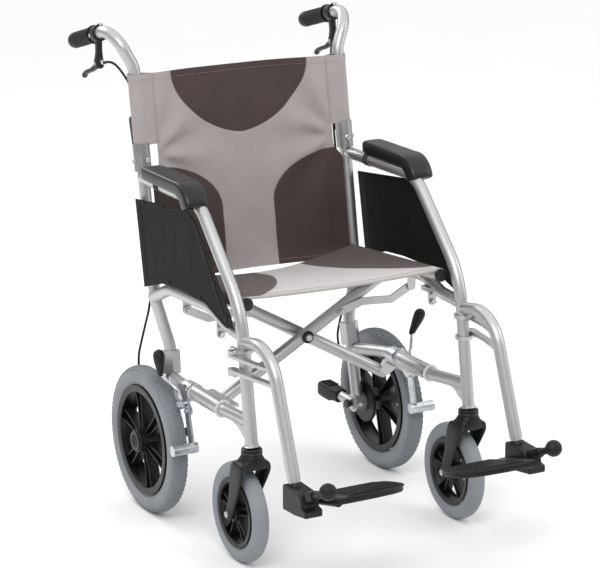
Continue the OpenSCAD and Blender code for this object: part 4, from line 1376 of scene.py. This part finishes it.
def brake_cable(label, side):
    """Sheathed cable from the hand lever to the drum, bending where the back folds."""
    points = [at(side * x, y, z) for x, y, z in CABLE]
    path = curve_points(points, 150)
    size = [0.0030 if i < 4 or i > 145 else 0.0025 for i in range(150)]
    cable = Shape()
    cable.tube(path, size, 14)
    piece = cable.finish("cable_sheath_" + label, "grip_rubber", label + "_frame", "black_plastic",
                         ["brake_cable_" + label], 60, keep=True)
    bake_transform(piece, label + "_frame", label + "_back", start=at(side * 221, 214, 664),
             end=at(side * 221, 230, 760))


# ---- parking brakes

def park_lever(label, side):
    body = label + "_park_lever"
    low = at(side * 293, 19, 321)
    top = at(side * 303, 4, 364)
    knob = Shape()
    knob.turned(low, top - low, [
        (-0.004, 0.0042), (-0.003, 0.0058), (0.004, 0.0070), (0.016, 0.0086), (0.030, 0.0108),
        (0.040, 0.0118), (0.047, 0.0117), (0.053, 0.0102), (0.0568, 0.0066), (0.0578, 0.0005)], 36)
    knob.finish("park_grip_" + label, "grip_rubber", body, "grip_rubber",
                ["park_brake_lever_" + label], 50)
    bar = Shape()
    guide = [(293, 19, 321), (286, 9, 309), (277.5, -2, 297), (270.5, -10, 288),
             (266.6, -14.5, 276), (266, -16, 262)]
    path = curve_points([at(side * p[0], p[1], p[2]) for p in guide], 26)
    strip = [(-0.0048, -0.0006), (0.0048, -0.0006), (0.0048, 0.0026), (0.0034, 0.0026),
             (0.0034, 0.0010), (-0.0034, 0.0010), (-0.0034, 0.0026), (-0.0048, 0.0026)]
    bar.sweep(path, lambda i: strip, (0.35 * side, 1, 0.35))
    bar.turned(at(side * 263.2, -16, 262), (side, 0, 0), [(0, 0.0105), (0.0056, 0.0105),
                                                         (0.0056, 0.0036), (0, 0.0036)], 32,
               closed=True)
    piece = bar.finish("park_bar_" + label, "zinc_steel", body, "zinc_steel", (), 30)
    soft_edges(piece, 0.0004)
    bolts("park_pin_" + label, [(at(side * 268.6, -16, 262), (side, 0, 0))], 0.0125, 0.0058, body)


# ---- footrests

TILT = math.radians(14)


def slope(x, y, z):
    """A point in the footplate's own slope, its front along -y."""
    c = math.cos(TILT)
    s = math.sin(TILT)
    return at(x, -464 + y * c + z * s, 198 - y * s + z * c)


def footplate(label, side):
    body = label + "_footplate"
    across = slope(0, 0, 1) - slope(0, 0, 0)
    outline = [(220, -106), (200, -109.5), (150, -109.5), (100, -104), (76, -94), (65.5, -80),
               (62.5, -60), (62.5, -26), (66, -10), (76, -2), (96, 0), (220, 0)]
    plate = Shape()
    plate.slab([slope(side * x, y, 0) for x, y in outline], across, 0.012, 0.0016)
    lip = [slope(side * x, y, 5.4) for x, y in outline[1:-1]]
    plate.tube(curve_points(lip, 70), 0.0021, 10)
    plate.turned(slope(side * 213, -98, -2), slope(0, 1, 0) - slope(0, 0, 0), [
        (0, 0.0042), (0, 0.0080), (0.001, 0.0090), (0.081, 0.0090), (0.082, 0.0080),
        (0.082, 0.0042)], 32, closed=True)
    piece = plate.finish("footplate_tread_" + label, "black_plastic", body, "black_plastic",
                         ["footplate_" + label], 35)
    soft_edges(piece, 0.0009)
    spots = []
    run = slope(1, 0, 0) - slope(0, 0, 0)
    for k, y in enumerate(range(-98, -6, 10)):
        inner = 84 if y < -88 else 72
        outer = 190
        mid = (inner + outer) / 2
        spots.append((slope(side * mid, y, 6.6), across, run))
    repeat("plate_ribs_" + label, "bar", spots, (0.116, 0.0042, 0.0030), "black_plastic", body,
           "black_plastic")


def foot_block(label, side):
    body = label + "_leg"
    foot_y = -449.8
    top = 227.0
    outline = [(foot_y + 12, top - 3), (foot_y + 9, top), (foot_y - 48, top - 1.5),
               (foot_y - 57, top - 5), (foot_y - 61, top - 12), (foot_y - 63, top - 27),
               (foot_y - 76, top - 30), (foot_y - 76, top - 42), (foot_y - 30, top - 49),
               (foot_y + 12, top - 50)]
    block = Shape()
    high = [at(side * 246, y, z) for y, z in outline]
    block.slab(high, (1, 0, 0), 0.038, 0.0024)
    collar_way = (0, -math.sin(math.radians(21)), -math.cos(math.radians(21)))
    block.turned(at(side * 246, foot_y - 1, top + 2), collar_way, [
        (0, 0.0114), (0, 0.0136), (0.0015, 0.0146), (0.012, 0.0146), (0.012, 0.0114)], 36,
        closed=True)
    rest = block.finish("foot_block_" + label, "black_plastic", body, "black_plastic",
                        ["foot_bracket_" + label], 35)
    soft_edges(rest, 0.0022, 3)
    neck = Shape()
    back = at(side * 246, foot_y - 50, 214)
    front = at(side * 246, -577, 251)
    way = (front - back).normalized()
    neck.turned(back, way, [(0, 0.0090), (0.020, 0.0090), (0.022, 0.0080), (0.040, 0.0074),
                            (0.060, 0.0070), (0.066, 0.0062), (0.068, 0.0050)], 36)
    neck.finish("knob_neck_" + label, "black_plastic", body, "black_plastic", (), 30)
    arm = Shape()
    arm.sweep([back - way * 0.012, back + way * 0.018, back + way * 0.034],
              lambda i: squared((0.0130, 0.0120, 0.0100)[i], (0.0125, 0.0115, 0.0095)[i], 3.2, 28),
              (1, 0, 0))
    arm.finish("knob_boss_" + label, "black_plastic", body, "black_plastic", (), 50)
    ball = Shape()
    knob = [(-0.0150, 0.0078), (-0.0142, 0.0092), (-0.0120, 0.0112), (-0.0080, 0.0142),
            (-0.0030, 0.0160), (0.0025, 0.0162), (0.0075, 0.0148), (0.0115, 0.0118),
            (0.0140, 0.0074), (0.0148, 0.0004)]
    ball.turned(front, way, knob, 40)
    ball.finish("height_knob_" + label, "grip_rubber", body, "black_plastic", (), 60)
    pin = Shape()
    pin.turned(slope(side * 213, -103, -2), slope(0, 1, 0) - slope(0, 0, 0), [
        (0, 0.0034), (0.0006, 0.0040), (0.1160, 0.0040), (0.1165, 0.0056), (0.1195, 0.0056),
        (0.1200, 0.0040)], 24)
    pin.finish("plate_pin_" + label, "zinc_steel", body, "zinc_steel", (), 30)
    lug = Shape()
    lug.slab([slope(side * x, 7, z) for x, z in ((207, -9), (205, -6), (205, 2), (207, 5),
                                                  (231, 5), (231, -10), (210, -10))],
             slope(0, 1, 0) - slope(0, 0, 0), 0.010, 0.0012)
    held = lug.finish("plate_lug_" + label, "black_plastic", body, "black_plastic", (), 35)
    soft_edges(held, 0.0012)


def tip_pedal(label, side):
    """Rubber foot on the tipping tube: a rounded, ribbed block, wider at its end."""
    x = side * 207
    pedal = Shape()
    rings = []
    for y, a, b, z in ((166, 13.0, 13.0, 153.0), (168, 13.8, 13.8, 153.0),
                       (182, 14.2, 14.2, 153.0), (192, 15.8, 15.4, 152.8),
                       (220, 16.4, 16.2, 152.6), (238, 16.8, 16.6, 152.4),
                       (243, 16.2, 16.0, 152.2), (245, 14, 14, 152.2)):
        rings.append([at(x + u, y, z + v) for u, v in squared(a, b, 4.2, 36)])
    pedal.loft(rings)
    for y in (202, 210, 218, 226, 234):
        for turn in (0, 1):
            half = 12.4
            z = 169.2 if turn == 0 else 136.4
            pedal.slab([at(x - half, y - 1.4, z), at(x + half, y - 1.4, z),
                        at(x + half, y + 1.4, z), at(x - half, y + 1.4, z)], (0, 0, 1), 0.0028)
    pedal.finish("tip_pedal_rubber_" + label, "grip_rubber", label + "_frame", "grip_rubber",
                 ["tip_pedal_" + label], 40)


# ---- small fittings on the frame

def frame_fittings(label, side):
    body = label + "_frame"
    caps = Shape()
    for y in (-145.5, -27.0):
        caps.turned(at(side * 238, y, 285), (0, 1, 0), [
            (-0.0012, 0.0128), (-0.0012, 0.0172), (0.0, 0.0182), (0.0014, 0.0172),
            (0.0014, 0.0128)], 40, closed=True)
    caps.finish("rail_washers_" + label, "white_nylon", body, "black_plastic", (), 30)
    heads = [
        (at(side * 232, 187.4, 717), (0, -1, 0.16)),
        (at(side * 253.2, 204, 714.3), (side, 0, 0)),
        (at(side * 269, -249.4 - 9, 390.5), (0.3 * side, -1, 0)),
        (at(side * 269, -249.4 - 9, 432.5), (0.3 * side, -1, 0)),
        (at(side * 240, -152.2, 455), (0, -1, 0)),
        (at(side * 240, -152.2, 438), (0, -1, 0)),
        (at(side * 231, 156, 322), (side, 0, 0)),
        (at(side * 216, 96.6, 152.5), (0, -1, 0)),
    ]
    bolts("frame_screws_" + label, heads, 0.0105, 0.0042, body)
    pins = [(at(side * 269, -249.4, 397.2), (0, 0, 1)), (at(side * 269, -249.4, 439.2), (0, 0, 1))]
    bolts("hanger_pins_" + label, pins, 0.0125, 0.0040, body)


def brace_fittings():
    bolt = [(at(0, -62.4, 374), (0, -1, 0))]
    bolts("brace_bolt", bolt, 0.0135, 0.0058, "brace_a")
    disc = Shape()
    disc.turned(at(0, -56.6, 374), (0, -1, 0), [(0, 0.0055), (0, 0.0120), (0.0012, 0.0130),
                                                (0.0036, 0.0130), (0.0048, 0.0120),
                                                (0.0048, 0.0055)], 40, closed=True)
    disc.finish("brace_washer", "grip_rubber", "brace_a", "black_plastic", (), 30)
    for side, body, label in ((1, "brace_a", "left"), (-1, "brace_b", "right")):
        end = Vector((0, -math.cos(SEAT_FALL), math.sin(SEAT_FALL)))
        front = Vector((side * SEAT_X, -0.213 + SHIFT, seat_z(-0.213 + SHIFT)))
        cap = Shape()
        cap.turned(front - end * 0.004, end, [
            (0, 0.0119), (0.0005, 0.0129), (0.0065, 0.0129), (0.0080, 0.0118),
            (0.0090, 0.0085), (0.0092, 0.0004)], 36)
        back = front - end * 0.365
        cap.turned(back + end * 0.002, -end, [
            (0, 0.0119), (0.0005, 0.0127), (0.0040, 0.0127), (0.0052, 0.0116),
            (0.0058, 0.0080), (0.0060, 0.0004)], 36)
        cap.finish("seat_tube_caps_" + label, "rim_black", body, "black_plastic", (), 30)


for label, side in SIDES.items():
    side_panel(label, side)
    arm_pad(label, side)
    rear_wheel(label, side)
    caster(label, side)
    fork(label, side)
    push_grip(label, side)
    lever_holder(label, side)
    brake_cable(label, side)
    park_lever(label, side)
    footplate(label, side)
    foot_block(label, side)
    tip_pedal(label, side)
    frame_fittings(label, side)
brace_fittings()


# ---- finishes of the parts that stay as the frame gives them

NODE_PAINT = {
    "rear_post": "frame_silver", "front_post": "frame_silver", "seat_rail": "frame_silver",
    "lower_rail": "frame_silver", "park_brake_mount": "zinc_steel",
    "park_brake_shoe": "zinc_steel", "hub_brake": "rim_black", "hanger": "frame_silver",
    "foot_tube": "frame_silver", "handle_post": "frame_silver", "back_release": "black_plastic",
    "back_hinge": "dark_casting", "tip_pedal": "grip_rubber", "brace_tube_a": "frame_silver",
    "brace_tube_b": "frame_silver", "link_right": "frame_silver", "link_left": "frame_silver",
}
for name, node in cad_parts.items():
    kind = name if name in NODE_PAINT else name.rsplit("_", 1)[0]
    for held in node.material_slots:
        held.material = PAINTS[NODE_PAINT.get(kind, "black_plastic")]


# ---- floor and light

floor_mesh = bpy.data.meshes.new("floor")
floor_mesh.from_pydata([(-30, -30, 0), (30, -30, 0), (30, 30, 0), (-30, 30, 0)], [], [(0, 1, 2, 3)])
floor = bpy.data.objects.new("floor", floor_mesh)
bpy.context.scene.collection.objects.link(floor)
floor_paint = Paint("floor")
floor_paint.feed(Base_Color=floor_paint.blend(floor_paint.cloudy(3), (0.90, 0.90, 0.90),
                                              (0.93, 0.93, 0.93)), Roughness=0.9)
floor_mesh.materials.append(floor_paint.material)

bpy.context.scene.view_settings.view_transform = "Standard"
world = bpy.data.worlds.new("studio")
world.use_nodes = True
sky = world.node_tree.nodes
where = sky.new("ShaderNodeTexCoord")
split = sky.new("ShaderNodeSeparateXYZ")
ramp_node = sky.new("ShaderNodeValToRGB")
joined = world.node_tree.links
joined.new(where.outputs["Generated"], split.inputs[0])
joined.new(split.outputs[2], ramp_node.inputs["Fac"])
joined.new(ramp_node.outputs["Color"], sky["Background"].inputs["Color"])
ramp_node.color_ramp.elements[0].color = (0.20, 0.20, 0.205, 1)
ramp_node.color_ramp.elements[0].position = 0.02
ramp_node.color_ramp.elements[1].color = (1.0, 1.0, 1.0, 1)
ramp_node.color_ramp.elements[1].position = 0.75
sky["Background"].inputs["Strength"].default_value = 1.25
bpy.context.scene.world = world


def soft_light(name, where, target, size, power):
    lamp = bpy.data.lights.new(name, "AREA")
    lamp.shape = "RECTANGLE"
    lamp.size = size[0]
    lamp.size_y = size[1]
    lamp.energy = power
    holder = bpy.data.objects.new(name, lamp)
    holder.matrix_world = aim(Vector(where), (Vector(target) - Vector(where)).normalized(), 0)
    bpy.context.scene.collection.objects.link(holder)


soft_light("key", (-1.6, -2.2, 2.9), (0, 0, 0.5), (1.6, 1.2), 40)
soft_light("side", (2.6, -1.4, 1.7), (0, 0, 0.5), (1.0, 2.0), 14)
soft_light("back", (-0.8, 2.6, 2.4), (0, 0, 0.5), (2.0, 1.0), 26)
